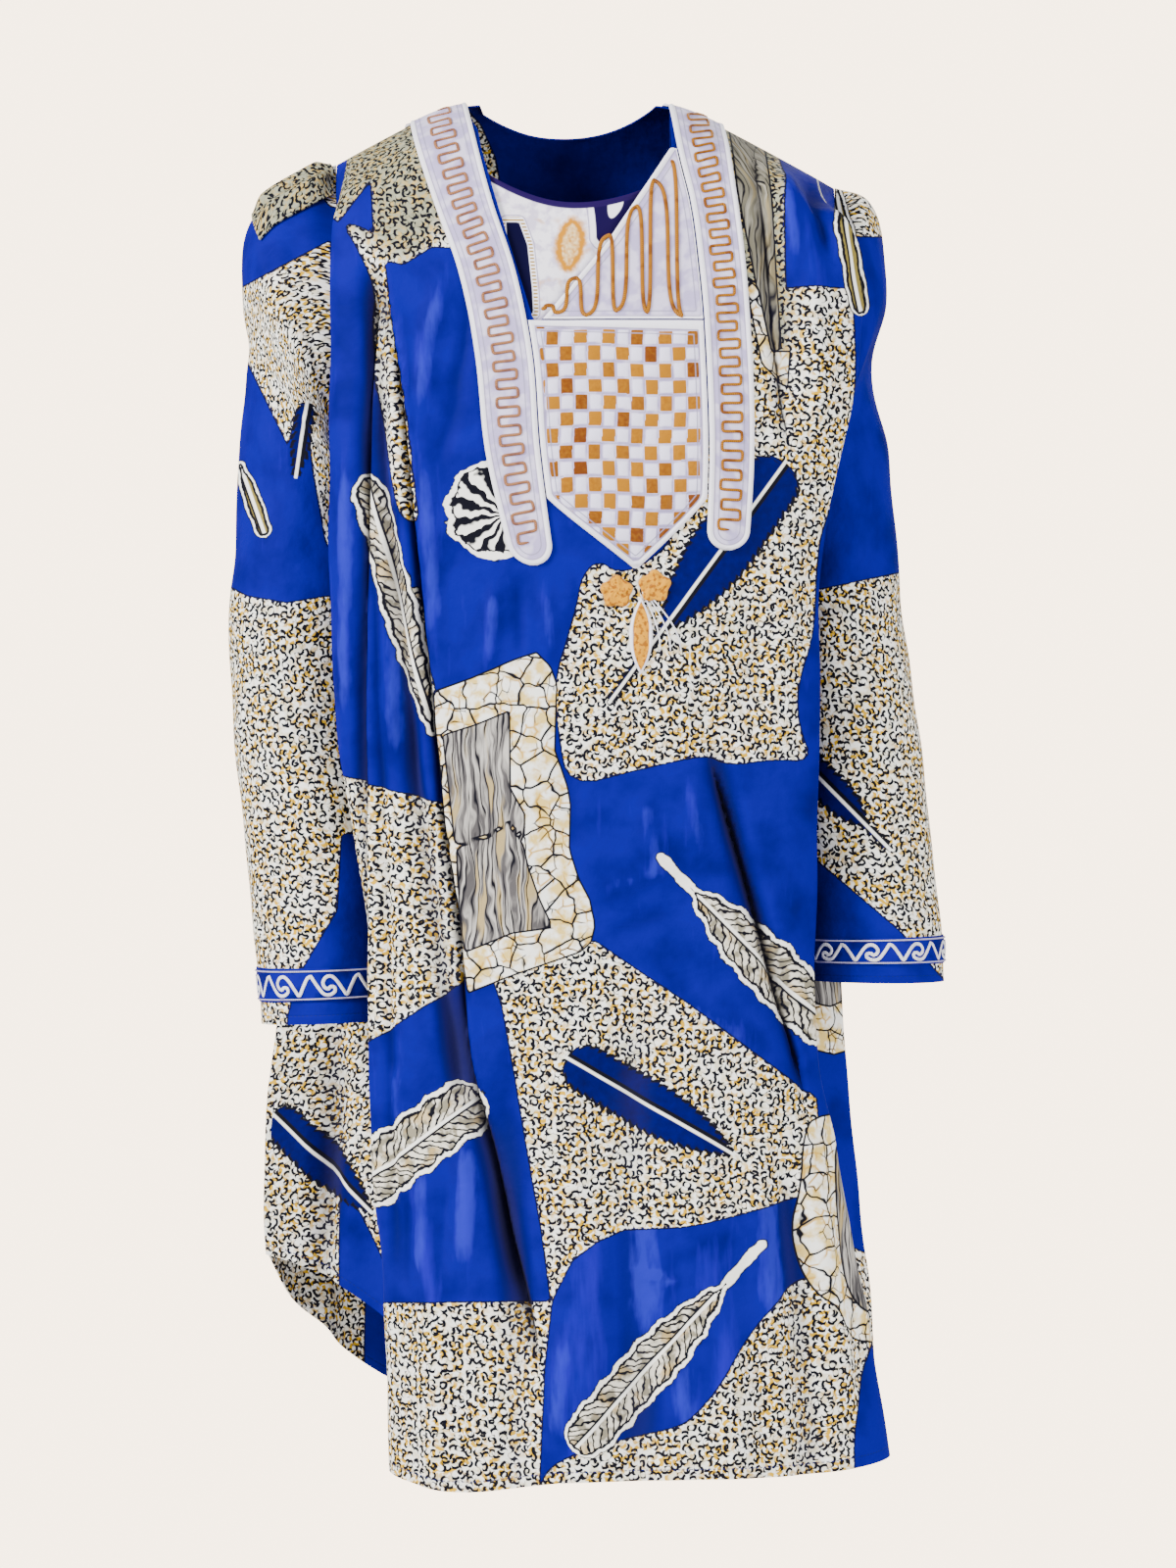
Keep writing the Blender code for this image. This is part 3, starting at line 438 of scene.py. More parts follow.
def folded(side, s, drop):
    """Points of a panel with its folds, and the plain panel's points and normals."""
    s, drop = np.broadcast_arrays(np.asarray(s, float), np.asarray(drop, float))
    flat = panel(side, s, drop)
    normal = normals_of(lambda a, b: panel(side, a, b), side, s, drop)
    inside = 1 - ease((np.abs(s) - FOLDS_END[0]) / FOLDS_END[1])
    rows = FRONT_FOLDS if side < 0 else BACK_FOLDS
    rise = folds(rows, flat[..., 0], flat[..., 2]) * ease(drop / FOLDS_BEGIN) * inside
    return flat + normal * rise[..., None], flat, normal


def place(side, x, z):
    """The s and drop at which the plain panel passes through (x, z), by halving."""
    x, z = np.broadcast_arrays(np.asarray(x, float), np.asarray(z, float))
    low = np.full(x.shape, -WING_AT)
    high = np.full(x.shape, WING_AT)
    for _ in range(HALVINGS):
        s = (low + high) / 2
        drop = np.maximum(shoulder_height(at_shoulder(s)) - z, 0)
        short = panel(side, s, drop)[..., 0] < x
        low = np.where(short, s, low)
        high = np.where(short, high, s)
    return s, np.maximum(shoulder_height(at_shoulder(s)) - z, 0)


def neckline_height(x):
    """Height of the V's edge at x."""
    right = curve(x, NECKLINE["right"], NECKLINE["z"])
    left = np.interp(x, NECKLINE["left"][:0:-1], NECKLINE["z"][:0:-1])
    return np.where(x < NECKLINE["right"][-1], right, left)


def back_neck_height(x):
    """Height of the back neckline at x: a shallow bow."""
    return -NECK_DROP * (1 - (x / NECK_HALF) ** 2)

# %% [markdown]
# ## Small creases and lapped pleats
#
# The large folds came with the sections. A real robe has two finer kinds. A **crease** is a soft
# ridge or trough along a short line; here it is a bell-shaped hump beside a slightly bowed
# segment. A **lap** is where one layer of cloth lies over another: the upper layer ends in a lip,
# and right beside it the lower layer dips. Written as a height over the cloth, a lap is two
# exponential slopes with a steep step between them, which draws the dark line that an eye takes
# for an overlap.

# %% Creases
# x and z of a crease's two ends, its sideways bow, its half width and its height, millimetres.
FRONT_CREASES = [
    (-160, -218, -159, -505, 0, 6.4, 3), (-128, -140, -126, -340, 0, 6.4, 2.6),
    (-127, -369, -123, -505, 0, 7.9, 2.6), (-153, -333, -150, -619, 0, 5, -2),
    (-118, -333, -102, -490, 1.4, 6.4, -1.8), (-84, -120, -105, -247, -5, 7.9, 2.6),
    (-72, -140, -86, -226, 5.7, 5.7, -2.2), (-104, -240, -92, -426, 0, 7.2, 2.8),
    (-74, -197, -98, -276, 2.9, 6.4, -2), (-50, -351, -55, -428, 0, 5.7, 2.4),
    (-34, -347, -32, -419, 0, 5, -2), (-14, -351, -9, -419, 0, 5.7, 2.2), (6, -344, 19, -404, 0, 5, -1.6),
    (55, -404, 46, -498, 2.9, 10.7, -2), (90, -354, 82, -480, -2.9, 12.9, 2.6),
    (132, -333, 141, -480, 2.9, 10.7, -2.4), (165, -333, 161, -433, 0, 7.2, 1.8),
    (57, -505, 70, -580, 0, 7.9, 2.2), (90, -494, 101, -569, 0, 7.9, 2),
    (18, -587, 93, -565, 2.1, 6.4, 1.8), (22, -621, 90, -598, 2.1, 6.4, -1.7),
    (46, -648, 161, -702, -3.6, 10.7, 2), (-11, -433, 8, -576, 3.6, 8.6, -1.8),
    (-42, -469, -25, -612, 2.1, 8.6, 1.6), (177, -50, 193, -120, 2.1, 5.7, -4.2),
    (160, -36, 170, -136, 1.4, 6.4, 2.8), (201, -64, 206, -136, 0, 5.7, 2.2),
    (188, -39, 206, -75, 0, 4.3, -2), (-125, -709, -121, -766, 0, 7.9, 2.2),
    (-104, -777, -102, -883, 0, 7.2, 2.8), (-72, -755, -75, -877, 2.1, 8.6, 3.6),
    (-88, -788, -90, -884, 0, 5.7, -2.4), (-50, -791, -34, -883, -2.1, 7.2, -2.8),
    (-115, -809, -117, -883, 0, 5.7, -1.8), (18, -698, 16, -863, 2.9, 14.3, -2.6),
    (61, -770, 65, -942, -2.9, 15.8, 3), (105, -755, 117, -942, 2.9, 15.8, -3),
    (148, -741, 160, -942, -2.9, 12.9, 3), (1, -899, -6, -1006, 0, 8.6, 2.6),
    (34, -924, 29, -1010, 0, 9.3, -2.6), (84, -916, 91, -999, 0, 10, 2.6),
    (134, -902, 145, -1010, 0, 10, -2.8), (44, -863, 98, -883, 3.6, 2.3, 1.6),
    (180, -777, 211, -992, 2.9, 8.6, 2.8), (197, -762, 228, -984, -2.1, 7.2, -2.8),
]
BACK_CREASES = [
    (-130, -90, -150, -400, 4, 9, 3), (-90, -120, -95, -360, -3, 8, -2.6),
    (-30, -150, -20, -390, 4, 10, 2.4), (15, -100, 40, -300, 5, 8, -2.4),
    (70, -110, 80, -420, -3, 9, 2.8), (125, -90, 150, -350, 3, 8, -2.6),
    (-80, -160, 0, -230, -10, 8, 2.2), (20, -220, 90, -170, -8, 7, 2),
    (-120, -520, -130, -940, 5, 12, 3.4), (-40, -560, -44, -970, -6, 14, -3.2),
    (24, -620, 30, -990, 5, 13, 3.4), (90, -550, 100, -980, -5, 12, -3),
    (150, -600, 175, -970, 3, 12, 3.2), (-170, -700, -185, -900, 3, 9, -3),
]

# %% Laps of the front
# Each lap is a line of places across at heights, both in millimetres, with the layer on its left
# on top; then the depth and the reach of the dip, and the height and the width of the lip.
LAPS = [
    # right of the neck band, down the whole front
    (
        (-110, -175, -312, -433, -541, -612, -710, -784, -834, -884, -960),
        (-139, -124, -109, -97, -86, -75.5, -67.5, -49, -39.4, -25, -12),
        (12.5, 8.5, 2.6, 10),
    ),
    # down the right wing
    (
        (-130, -233, -362, -505, -619, -720, -884, -1060),
        (-138, -143, -145, -145, -144.5, -143, -139, -136),
        (8.5, 7, 2, 9),
    ),
    # over the left hip
    ((-470, -521, -581, -649, -700, -760), (103, 122, 140, 158.7, 172, 184), (10, 8, 2.4, 10)),
    # outside the left neck band
    ((-10, -75, -125, -168, -230, -290), (136, 146, 151, 155, 163, 172), (6, 6, 1.6, 8)),
]
LIP = 0.0022  # half width of the step between the two layers
LAP_FADES = (0.05, 0.06)  # metres over which a lap fades in at its top and out at its low end
CREASE_STRENGTH = 1.6  # how much stronger the creases are than in their tables
FAR = 60.0  # millimetres; what a point counts as when nothing is near


# %% Their heights
def creases_at(rows, x, z):
    """Sum of bell-shaped humps: height times exp(-(distance / width)^2), fading at both ends."""
    total = np.zeros(np.broadcast(x, z).shape)
    for ax, az, bx, bz, bow, width, rise in np.array(rows) / 1000:
        length = math.hypot(bx - ax, bz - az)
        ux, uz = (bx - ax) / length, (bz - az) / length
        along = np.clip(((x - ax) * ux + (z - az) * uz) / length, 0, 1)
        beside = (z - az) * ux - (x - ax) * uz - bow * np.sin(math.pi * along)
        total += rise * ease(along / 0.3) * ease((1 - along) / 0.3) * np.exp(-((beside / width) ** 2))
    return total


def lap_lines(x, z):
    """For each lap: metres from its lip, negative on the layer below; its strength; its sizes."""
    for lap in LAPS:
        heights, places, sizes = (np.array(numbers) / 1000 for numbers in lap)
        strength = ease((heights[0] - z) / LAP_FADES[0]) * ease((z - heights[-1]) / LAP_FADES[1])
        yield x - curve(z, heights, places), strength, sizes


def laps_at(x, z):
    """Height of the laps: depth * exp(d / reach) below the lip, lip * exp(-d / width) above it."""
    total = np.zeros(np.broadcast(x, z).shape)
    for d, strength, (depth, reach, lip, width) in lap_lines(x, z):
        low = -depth * np.exp(np.minimum(d, 0) / reach)
        high = lip * np.exp(-np.maximum(d, 0) / width)
        step = ease((d + LIP) / (2 * LIP))
        total += (low * (1 - step) + high * step) * strength
    return total


def lap_distance(x, z):
    """Millimetres from the nearest lip, negative on the layer below; it grows where a lap fades."""
    nearest = np.full(np.broadcast(x, z).shape, FAR)
    for d, strength, _ in lap_lines(x, z):
        d = d * 1000 + np.where(d < 0, -14, 14) * (1 - strength)
        nearest = np.where(np.abs(d) < np.abs(nearest), d, nearest)
    return nearest


def crumple(x, z):
    """A slow unevenness under half a millimetre: three crossing sine waves."""
    return 0.0004 * (
        np.sin(61 * x + 23 * z + 1.1) + np.sin(-37 * x + 52 * z + 0.4) + np.sin(88 * x - 71 * z)
    )


# %% [markdown]
# ## A paper front view
#
# The print and the creases are planned on a front view of the robe, in the proportions that an
# eye 4.5 m away sees: the chest is 8 cm nearer than the arms, so it looks 2% larger. `paper`
# turns a point of the cloth into its place on that view.

# %% Paper coordinates
def paper(points):
    """x and z of points as an eye EYE_DISTANCE away sees them on the true plane."""
    larger = EYE_DISTANCE / (EYE_DISTANCE + points[..., 1] - TRUE_PLANE)
    x = MIDDLE[0] + (points[..., 0] - MIDDLE[0]) * larger
    z = EYE_HEIGHT + (points[..., 2] - EYE_HEIGHT) * larger
    return x, z


def draped(side, s, drop):
    """Points of a panel with every fold, the plain panel's normals, and its paper coordinates."""
    points, flat, normal = folded(side, s, drop)
    inside = (1 - ease((np.abs(s) - CREASES_END[0]) / CREASES_END[1])) * ease(drop / FOLDS_BEGIN)
    if side < 0:
        x, z = paper(flat)
        rise = laps_at(x, z) + CREASE_STRENGTH * creases_at(FRONT_CREASES, x, z) + crumple(x, z)
    else:
        x, z = flat[..., 0], flat[..., 2]
        rise = CREASE_STRENGTH * creases_at(BACK_CREASES, x, z) + crumple(x, z)
    return points + normal * (rise * inside)[..., None], normal, (x, z)


# %% [markdown]
# ## From a grid of points to a wall of cloth
#
# A piece of cloth is a grid of points moved outwards by half the wall, the same grid moved
# inwards, and a rim where the grid ends. Two sets of numbers go with every point: a UV map that
# measures the cloth itself in metres, so that the print's ticks and the weave have one size
# everywhere, and the distance fields of the print.

# %% Wall of cloth
def cloth_lengths(points):
    """How far each point of a grid lies across and down the cloth, along the grid's own lines."""
    across = np.linalg.norm(np.diff(points, axis=1), axis=2).cumsum(axis=1)
    down = np.linalg.norm(np.diff(points, axis=0), axis=2).cumsum(axis=0)
    across = np.pad(across, ((0, 0), (1, 0)))
    down = np.pad(down, ((1, 0), (0, 0)))
    middle = across[:, across.shape[1] // 2]
    return across - middle[:, None], down


def smooth_piece(name, points, faces, uv):
    """A piece of these points and faces, shaded smooth, with a UV place for each face's corners."""
    mesh = bpy.data.meshes.new(name)
    mesh.from_pydata(points.tolist(), [], faces)
    mesh.polygons.foreach_set("use_smooth", np.ones(len(faces), bool))
    mesh.uv_layers.new(name="cloth").data.foreach_set("uv", uv.astype(np.float32).ravel())
    return added(name, mesh)


def closed_round(grid):
    """A grid with its first column once more at its end."""
    return np.concatenate([grid, grid[:, :1]], axis=1)


def corners_of(grid):
    """The four corners of every cell of a grid of numbers, one row a cell."""
    return np.stack([grid[:-1, :-1], grid[:-1, 1:], grid[1:, 1:], grid[1:, :-1]], -1).reshape(-1, 4)


def wall(name, outer, inner, fields, uv=None, wrap=False):
    """A closed body between two grids, with a UV map in metres and a value of each field a point.

    A grid that wraps joins its last column to its first. Its UV map goes on to a column more, so
    that the print isn't squeezed back into the last strip.
    """
    rows, columns = outer.shape[:2]
    count = rows * columns
    uv = [np.broadcast_to(v, (rows, v.shape[1])) for v in (cloth_lengths(outer) if uv is None else uv)]
    index = np.arange(count).reshape(rows, columns)
    if wrap:
        index = closed_round(index)
        uv = [v if v.shape[1] > columns else closed_round(v) for v in uv]
    cells, spots = corners_of(index), corners_of(np.arange(index.size).reshape(index.shape))
    start, end = cells.ravel(), np.roll(cells, -1, axis=1).ravel()
    free = ~np.isin(start * count + end, end * count + start)
    p, q = start[free], end[free]
    u, v = spots.ravel()[free], np.roll(spots, -1, axis=1).ravel()[free]
    faces = np.concatenate([cells, cells[:, ::-1] + count, np.stack([q, p, p + count, q + count], 1)])
    spots = np.concatenate([spots, spots[:, ::-1], np.stack([v, u, u, v], 1)])
    points = np.concatenate([outer.reshape(-1, 3), inner.reshape(-1, 3)])
    a, b, c, d = (points[faces[:, k]] for k in range(4))
    volume = np.einsum("ij,ij->", a, np.cross(b, c)) + np.einsum("ij,ij->", a, np.cross(c, d))
    if volume < 0:
        faces, spots = faces[:, ::-1], spots[:, ::-1]
    uv = np.stack([v.ravel() for v in uv], 1)[spots.ravel()]
    piece = smooth_piece(name, points, faces.tolist(), uv)
    for field, values in fields.items():
        one = np.broadcast_to(values, (rows, columns)).ravel().astype(np.float32)
        stored = piece.data.attributes.new(field, "FLOAT", "POINT")
        stored.data.foreach_set("value", np.tile(one, 2))
    piece.data.set_sharp_from_angle(angle=math.radians(60))
    piece.data.validate()
    return piece


def finish(piece, slot, material, *nodes):
    """Gives a piece its material and its body, and hides the solids that it stands for. `slot` is not used.
    """
    piece.data.materials.append(material)
    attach(piece, "root")
    if nodes:
        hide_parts(*nodes)


def declare_cloth(piece, points, held, rests_on=(), rows=slice(None)):
    """Works out the lengths across and down a piece's grid, and doesn't keep them.

    `rows` is not used.
    """
    across, down = cloth_lengths(points)

# %% [markdown]
# ## Painting by distance
#
# The print isn't a picture. Each patch of the print is a short polygon, and every point of the
# cloth learns how far it lies from that polygon's edge, in millimetres, negative inside. A
# material can then draw a crisp edge, an outline of any width, or rows of stitches along it,
# however near one looks. Corners of soft patches are cut twice, which rounds them.

# %% Distance to a polygon
def rounded(corners, rounds=2):
    """A polygon with each corner cut at a quarter of its sides, `rounds` times."""
    points = np.array(corners, float)
    for _ in range(rounds):
        after = np.roll(points, -1, axis=0)
        points = np.stack([0.75 * points + 0.25 * after, 0.25 * points + 0.75 * after], 1)
        points = points.reshape(-1, 2)
    return points


def polygon_distance(x, z, corners):
    """Millimetres from points to the edge of a polygon, negative inside, at most FAR."""
    result = np.full(x.shape, FAR)
    low, high = corners.min(axis=0) - FAR, corners.max(axis=0) + FAR
    near = (x > low[0]) & (x < high[0]) & (z > low[1]) & (z < high[1])
    px, pz = x[near], z[near]
    nearest = np.full(px.shape, FAR**2)
    inside = np.zeros(px.shape, bool)
    for (ax, az), (bx, bz) in zip(corners, np.roll(corners, -1, axis=0)):
        ux, uz = bx - ax, bz - az
        share = np.clip(((px - ax) * ux + (pz - az) * uz) / (ux * ux + uz * uz + 1e-9), 0, 1)
        nearest = np.minimum(nearest, (px - ax - ux * share) ** 2 + (pz - az - uz * share) ** 2)
        if abs(uz) > 1e-9:
            inside ^= ((az > pz) != (bz > pz)) & (px < ax + (pz - az) / uz * ux)
    result[near] = np.where(inside, -1, 1) * np.sqrt(nearest)
    return result


# %% Places on a feather
def feather_places(x, z, feather):
    """Distance to a feather's own box, and where points lie on the feather.

    A feather runs from the end of its stem, over the bare stem, to its blunt end. `vane` is the
    share of the way along the vane, 0 where the stem enters it and 1 at the blunt end; `across`
    is the millimetres beside the quill. Both are straight lines over the cloth, so a material
    can draw the feather from them without a step.
    """
    ax, az, bx, bz, half, stem = feather
    length = math.hypot(bx - ax, bz - az)
    ux, uz = (bx - ax) / length, (bz - az) / length
    along = (x - ax) * ux + (z - az) * uz
    across = (x - ax) * uz - (z - az) * ux
    vane = (along / length - stem) / (1 - stem)
    box = np.maximum(np.abs(across) - half, np.maximum(-along, along - length))
    reach, stalk = (1 - stem) * length, stem * length
    return {"feather": box, "vane": vane, "across": across, "half": half, "reach": reach, "stalk": stalk}


# %% Painting a layout
def painted(layout, x, z):
    """The print's fields for points at (x, z) metres: each patch is laid over the ones before.

    A dark feather is marked by the sign of its half width, a fan by the sign of its reach.
    """
    x, z = x * 1000, z * 1000
    over = ("speckle", "crackle", "grain")
    fields = {name: np.full(x.shape, FAR) for name in (*over, "feather")}
    fields |= {name: np.zeros(x.shape) for name in ("vane", "across", "half", "reach", "stalk", "rise")}
    for kind, soft, corners in layout["patches"]:
        edge = polygon_distance(x, z, rounded(corners) if soft else np.array(corners, float))
        for name in over[over.index(kind) + 1 if kind in over else 0 :]:
            fields[name] = np.maximum(fields[name], -edge)
        if kind in over:
            fields[kind] = np.minimum(fields[kind], edge)
    for kind, *feather in layout["feathers"]:
        found = feather_places(x, z, feather)
        found["half"] *= -1 if kind == "navy" else 1
        found["reach"] *= -1 if kind == "fan" else 1
        closer = found["feather"] < fields["feather"]
        fields |= {name: np.where(closer, value, fields[name]) for name, value in found.items()}
    fields["dull"] = np.zeros(x.shape)
    for corners in layout.get("dull", []):
        edge = polygon_distance(x, z, rounded(corners))
        fields["dull"] = np.maximum(fields["dull"], np.clip(0.5 - edge / 16, 0, 1))
    return fields


# %% [markdown]
# ## The layout of the print
#
# The patches of the front, in millimetres from the middle of the shoulder seam. What isn't named
# stays royal blue. The back isn't seen from the front, so it gets patches of the same kinds, in
# an order of its own.

# %% Front
FRONT_PRINT = {
    "patches": [
        ("speckle", 0, [(-145, 11), (-97, 11), (-69, -111), (-97, -109), (-118, -122), (-138, -118)]),
        ("speckle", 0, [(-205, 25), (-137, 25), (-137, -54), (-165, -91), (-190, -70)]),
        ("speckle", 1, [
            (-163, -91), (-137, -101), (-132, -120), (-126, -168), (-117, -218), (-109, -290),
            (-105, -313), (-120, -309), (-129, -268), (-139, -218), (-145, -170), (-141, -136),
            (-150, -111),
        ]),
        ("speckle", 0, [(-122, -364), (-109, -360), (-95, -436), (-103, -454)]),
        ("speckle", 1, [
            (127, -179), (150, -146), (156, -141), (162, -140), (208, -140), (213, -144), (213, -218),
            (205, -276), (192, -306), (185, -333), (185, -390), (170, -433), (172, -463), (182, -488),
            (154, -486), (122, -491), (107, -482), (54, -494), (4, -507), (-4, -465), (-6, -426),
            (6, -390), (18, -337), (47, -354), (90, -319),
        ]),
        ("speckle", 0, [
            (-52, -648), (-11, -637), (22, -621), (90, -667), (140, -704), (185, -737), (188, -770),
            (175, -809), (129, -823), (92, -832), (44, -834), (24, -843), (6, -857), (-9, -887),
            (-16, -834), (-26, -777), (-37, -712), (-45, -669),
        ]),
        ("speckle", 0, [
            (-226, -493), (-165, -499), (-140, -507), (-86, -521), (-78, -598), (-72, -648), (-111, -674),
            (-143, -695), (-175, -712), (-226, -734),
        ]),
        ("speckle", 0, [(-142, -889), (-9, -888), (-14, -934), (-19, -1035), (-142, -1035)]),
        ("speckle", 1, [
            (178, -871), (163, -881), (150, -896), (138, -912), (125, -930), (111, -956), (97, -972),
            (83, -982), (47, -990), (15, -997), (-17, -1015), (-17, -1049), (218, -1049), (211, -990),
            (228, -914), (236, -863), (218, -856),
        ]),
        ("speckle", 0, [(236, -863), (276, -934), (276, -1035), (243, -1049), (241, -997), (228, -914)]),
        ("crackle", 0, [
            (-96, -437), (-68, -427), (-38, -414), (-20, -408), (-10, -418), (-5, -432), (-7, -480),
            (3, -508), (5, -520), (4, -553), (11, -575), (19, -590), (23, -609), (20, -622), (12, -629),
            (-40, -647), (-70, -659), (-73, -640), (-77, -598), (-86, -541), (-92, -480),
        ]),
        ("grain", 0, [
            (-89, -469), (-64, -461), (-40, -451), (-39, -508), (-29, -527), (-29, -545), (-40, -532),
            (-56, -542), (-80, -549),
        ]),
        ("grain", 0, [
            (-79, -552), (-56, -545), (-41, -535), (-30, -549), (-26, -567), (-18, -590), (-8, -611),
            (-38, -615), (-72, -629), (-76, -600),
        ]),
        ("crackle", 1, [
            (185, -747), (176, -766), (175, -805), (170, -834), (177, -864), (188, -883), (200, -891),
            (209, -914), (240, -920), (276, -891), (276, -747),
        ]),
        ("grain", 1, [
            (198, -756), (203, -813), (207, -856), (216, -888), (227, -899), (241, -891), (241, -750),
        ]),
        ("speckle", 0, [(110, 4), (150, -16), (161, -60), (166, -190), (146, -190), (118, -75)]),
        ("grain", 0, [
            (118, -4), (146, -30), (154, -77), (157, -133), (161, -186), (152, -186), (142, -140),
            (129, -75),
        ]),
        ("crackle", 0, [(133, -132), (143, -140), (153, -186), (168, -186), (166, -214), (146, -196)]),
    ],
    "feathers": [
        ("navy", 34, -444, 163, -268, 26, 0.3),
        ("navy", 124, -778, 2, -707, 21, 0),
        ("pale", -97, -469, -148, -276, 14, 0),
        ("fan", -50, -340, -50, -266, 37, 0),
        ("pale", 69, -557, 205, -694, 23, 0.18),
        ("pale", -203, -842, -60, -733, 25, 0),
        ("pale", 147, -843, 7, -998, 21, 0.2),
        ("pale", 199, -60, 219, -160, 8, 0),
    ],
    # Where speckle and grain are turned olive-grey: a muted tone of the print on the right yoke, and
    # painted shade in the valley beside the left neck band and in the narrow strip under the right lap.
    "dull": [
        [(-215, 30), (-85, 30), (-80, -70), (-96, -112), (-120, -124), (-146, -104), (-215, -70)],
        [(108, 12), (152, -14), (168, -70), (172, -190), (146, -200), (112, -75)],
        [(-126, -350), (-106, -350), (-92, -440), (-106, -460)],
    ],
}

# %% Back, with the wing that comes round to the front on the right
BACK_PRINT = {
    "patches": [
        ("speckle", 1, [(-170, 10), (-60, 10), (-40, -110), (-90, -190), (-175, -160)]),
        ("speckle", 1, [(20, -140), (90, -110), (190, -150), (215, -300), (150, -380), (40, -330)]),
        ("speckle", 1, [(-60, -520), (40, -480), (110, -560), (80, -700), (-30, -740), (-90, -640)]),
        ("speckle", 1, [(60, -850), (150, -820), (290, -900), (290, -1060), (40, -1060)]),
        ("crackle", 1, [(-150, -300), (-60, -270), (-20, -330), (-30, -450), (-120, -490), (-165, -400)]),
        ("grain", 1, [(-128, -330), (-70, -310), (-48, -345), (-58, -420), (-115, -445), (-138, -390)]),
        ("crackle", 1, [(150, -520), (230, -500), (290, -600), (230, -720), (160, -700)]),
        ("grain", 1, [(170, -545), (225, -530), (250, -600), (215, -680), (175, -670)]),
        ("speckle", 0, [(-260, -640), (-175, -655), (-150, -760), (-158, -1060), (-290, -1060)]),
        ("speckle", 0, [(-215, 30), (-120, 30), (-130, -60), (-215, -80)]),
    ],
    # Where the back's speckle is turned olive-grey, to match the front's right yoke.
    "dull": [
        [(-215, 30), (-90, 30), (-100, -100), (-215, -90)],
    ],
    "feathers": [
        ("pale", 60, -470, -30, -210, 22, 0.2),
        ("navy", 176, -330, 70, -190, 19, 0.2),
        ("navy", -10, -690, 40, -540, 19, 0),
        ("pale", -110, -900, -20, -770, 22, 0.2),
        ("pale", 150, -480, 110, -400, 16, 0),
        ("navy", 90, -990, 200, -900, 20, 0),
    ],
}
WING_PRINT = {
    "patches": [
        ("speckle", 0, [(-290, -600), (-90, -600), (-90, -1000), (-290, -1000)]),
        ("blue", 0, [(-168, -805), (-150, -820), (-120, -880), (-120, -950), (-165, -950)]),
    ],
    "feathers": [
        ("navy", -143, -820, -215, -748, 17, 0),
    ],
}

# %% Sleeves
SLEEVE_PRINTS = {
    "right": {
        "patches": [
            ("speckle", 0, [(-215, 25), (-150, 25), (-150, -84), (-172, -80), (-186, -62), (-215, -62)]),
            ("speckle", 0, [
                (-238, -141), (-172, -106), (-171, -333), (-175, -327), (-184, -276), (-188, -233),
                (-197, -229), (-203, -254), (-232, -193),
            ]),
            ("speckle", 0, [
                (-290, -360), (-246, -360), (-233, -367), (-204, -372), (-175, -367), (-90, -367),
                (-90, -760), (-290, -760),
            ]),
            ("blue", 0, [
                (-165, -541), (-168, -598), (-197, -648), (-204, -677), (-204, -760), (-90, -760),
                (-90, -541),
            ]),
        ],
        "feathers": [
            ("pale", -238, -268, -219, -323, 7, 0),
            ("navy", -197, -278, -189, -224, 8, 0),
        ],
    },
    "left": {
        "patches": [
            ("speckle", 0, [
                (150, -365), (190, -362), (251, -349), (300, -345), (300, -760), (150, -760),
            ]),
            ("speckle", 0, [(180, -20), (188, -42), (205, -70), (212, -102), (240, -102), (240, -20)]),
            ("blue", 0, [
                (188, -561), (218, -587), (247, -612), (281, -650), (281, -720), (150, -720), (150, -561),
            ]),
        ],
        "feathers": [
            ("navy", 240, -553, 176, -487, 14, 0.25),
            ("pale", 199, -60, 219, -160, 8, 0),
        ],
    },
}

# %% [markdown]
# ## The two panels
#
# Each panel is one grid from the shoulder seam to the hem. Over the shoulder the rows lie close
# together, because the cloth turns there by a right angle. The columns that would run through the
# V neckline start at its edge instead, so that the edge is smooth and no cell is cut.

# %% Grid of a panel
TURN_ROWS = 12  # rows in the turn over the shoulder
ROWS_LEVEL = 0.34  # fall below which all rows are level, whatever edge they start at
PRINT_BEYOND = 0.6  # metres of print for each unit of s, beyond the wing's fold
WIDTH_LEVELS = np.linspace(-0.07, -1.07, 101)  # heights at which a panel's width is measured
LEVEL_STEP = 0.01
LENGTHS_FROM = 0.5  # depth below the shoulder from which lengths down the cloth are counted
SEAM_STRIP = 0.97  # place across beyond which the plain panel's normals serve
LAP_SHADING = 9  # millimetres over which the shading of a lap fades away


def fall_rows(total, rows):
    """Falls below the shoulder: a quarter turn over it, then even steps down to `total`."""
    turn = SHOULDER_ROUND * (1 - np.cos(np.linspace(0, math.pi / 2, TURN_ROWS, endpoint=False)))
    rest = np.linspace(0, 1, rows - TURN_ROWS + 1)
    low = SHOULDER_ROUND + (total[None, :] - SHOULDER_ROUND) * rest[:, None]
    return np.concatenate([turn[:, None] + 0 * total[None, :], low])


def panel_grid(side, s, inside, top_z, rows):
    """s and fall of every point of a panel's grid; columns marked `inside` start at top_z."""
    seam = shoulder_height(at_shoulder(s))
    total = seam - curve(s, HEM["across"], HEM["front" if side < 0 else "back"])
    edge = seam.copy()
    for _ in range(14):
        edge = np.minimum(top_z(panel(side, s, seam - edge)[:, 0]), seam)
    first = np.where(inside, seam - edge, 0)
    fall = fall_rows(total, rows)
    drop = fall + first * (1 - ease(fall / ROWS_LEVEL))
    return np.broadcast_to(s, drop.shape), drop, total


def smooth_lengths(side, s, drop):
    """Lengths across and down a panel without its folds, each across at one height."""
    seam = shoulder_height(at_shoulder(s[0]))
    across = cloth_lengths(panel(side, s[:1], seam - WIDTH_LEVELS[:, None]))[0]
    plain = panel(side, s, drop)
    at = np.clip((WIDTH_LEVELS[0] - plain[..., 2]) / LEVEL_STEP, 0, 99.999)
    row, column = at.astype(int), np.arange(s.shape[1])
    across = across[row, column] + (across[row + 1, column] - across[row, column]) * (at - row)
    down = cloth_lengths(plain)[1]
    return across, down - [np.interp(LENGTHS_FROM, -plain[:, k, 2], down[:, k]) for k in column]


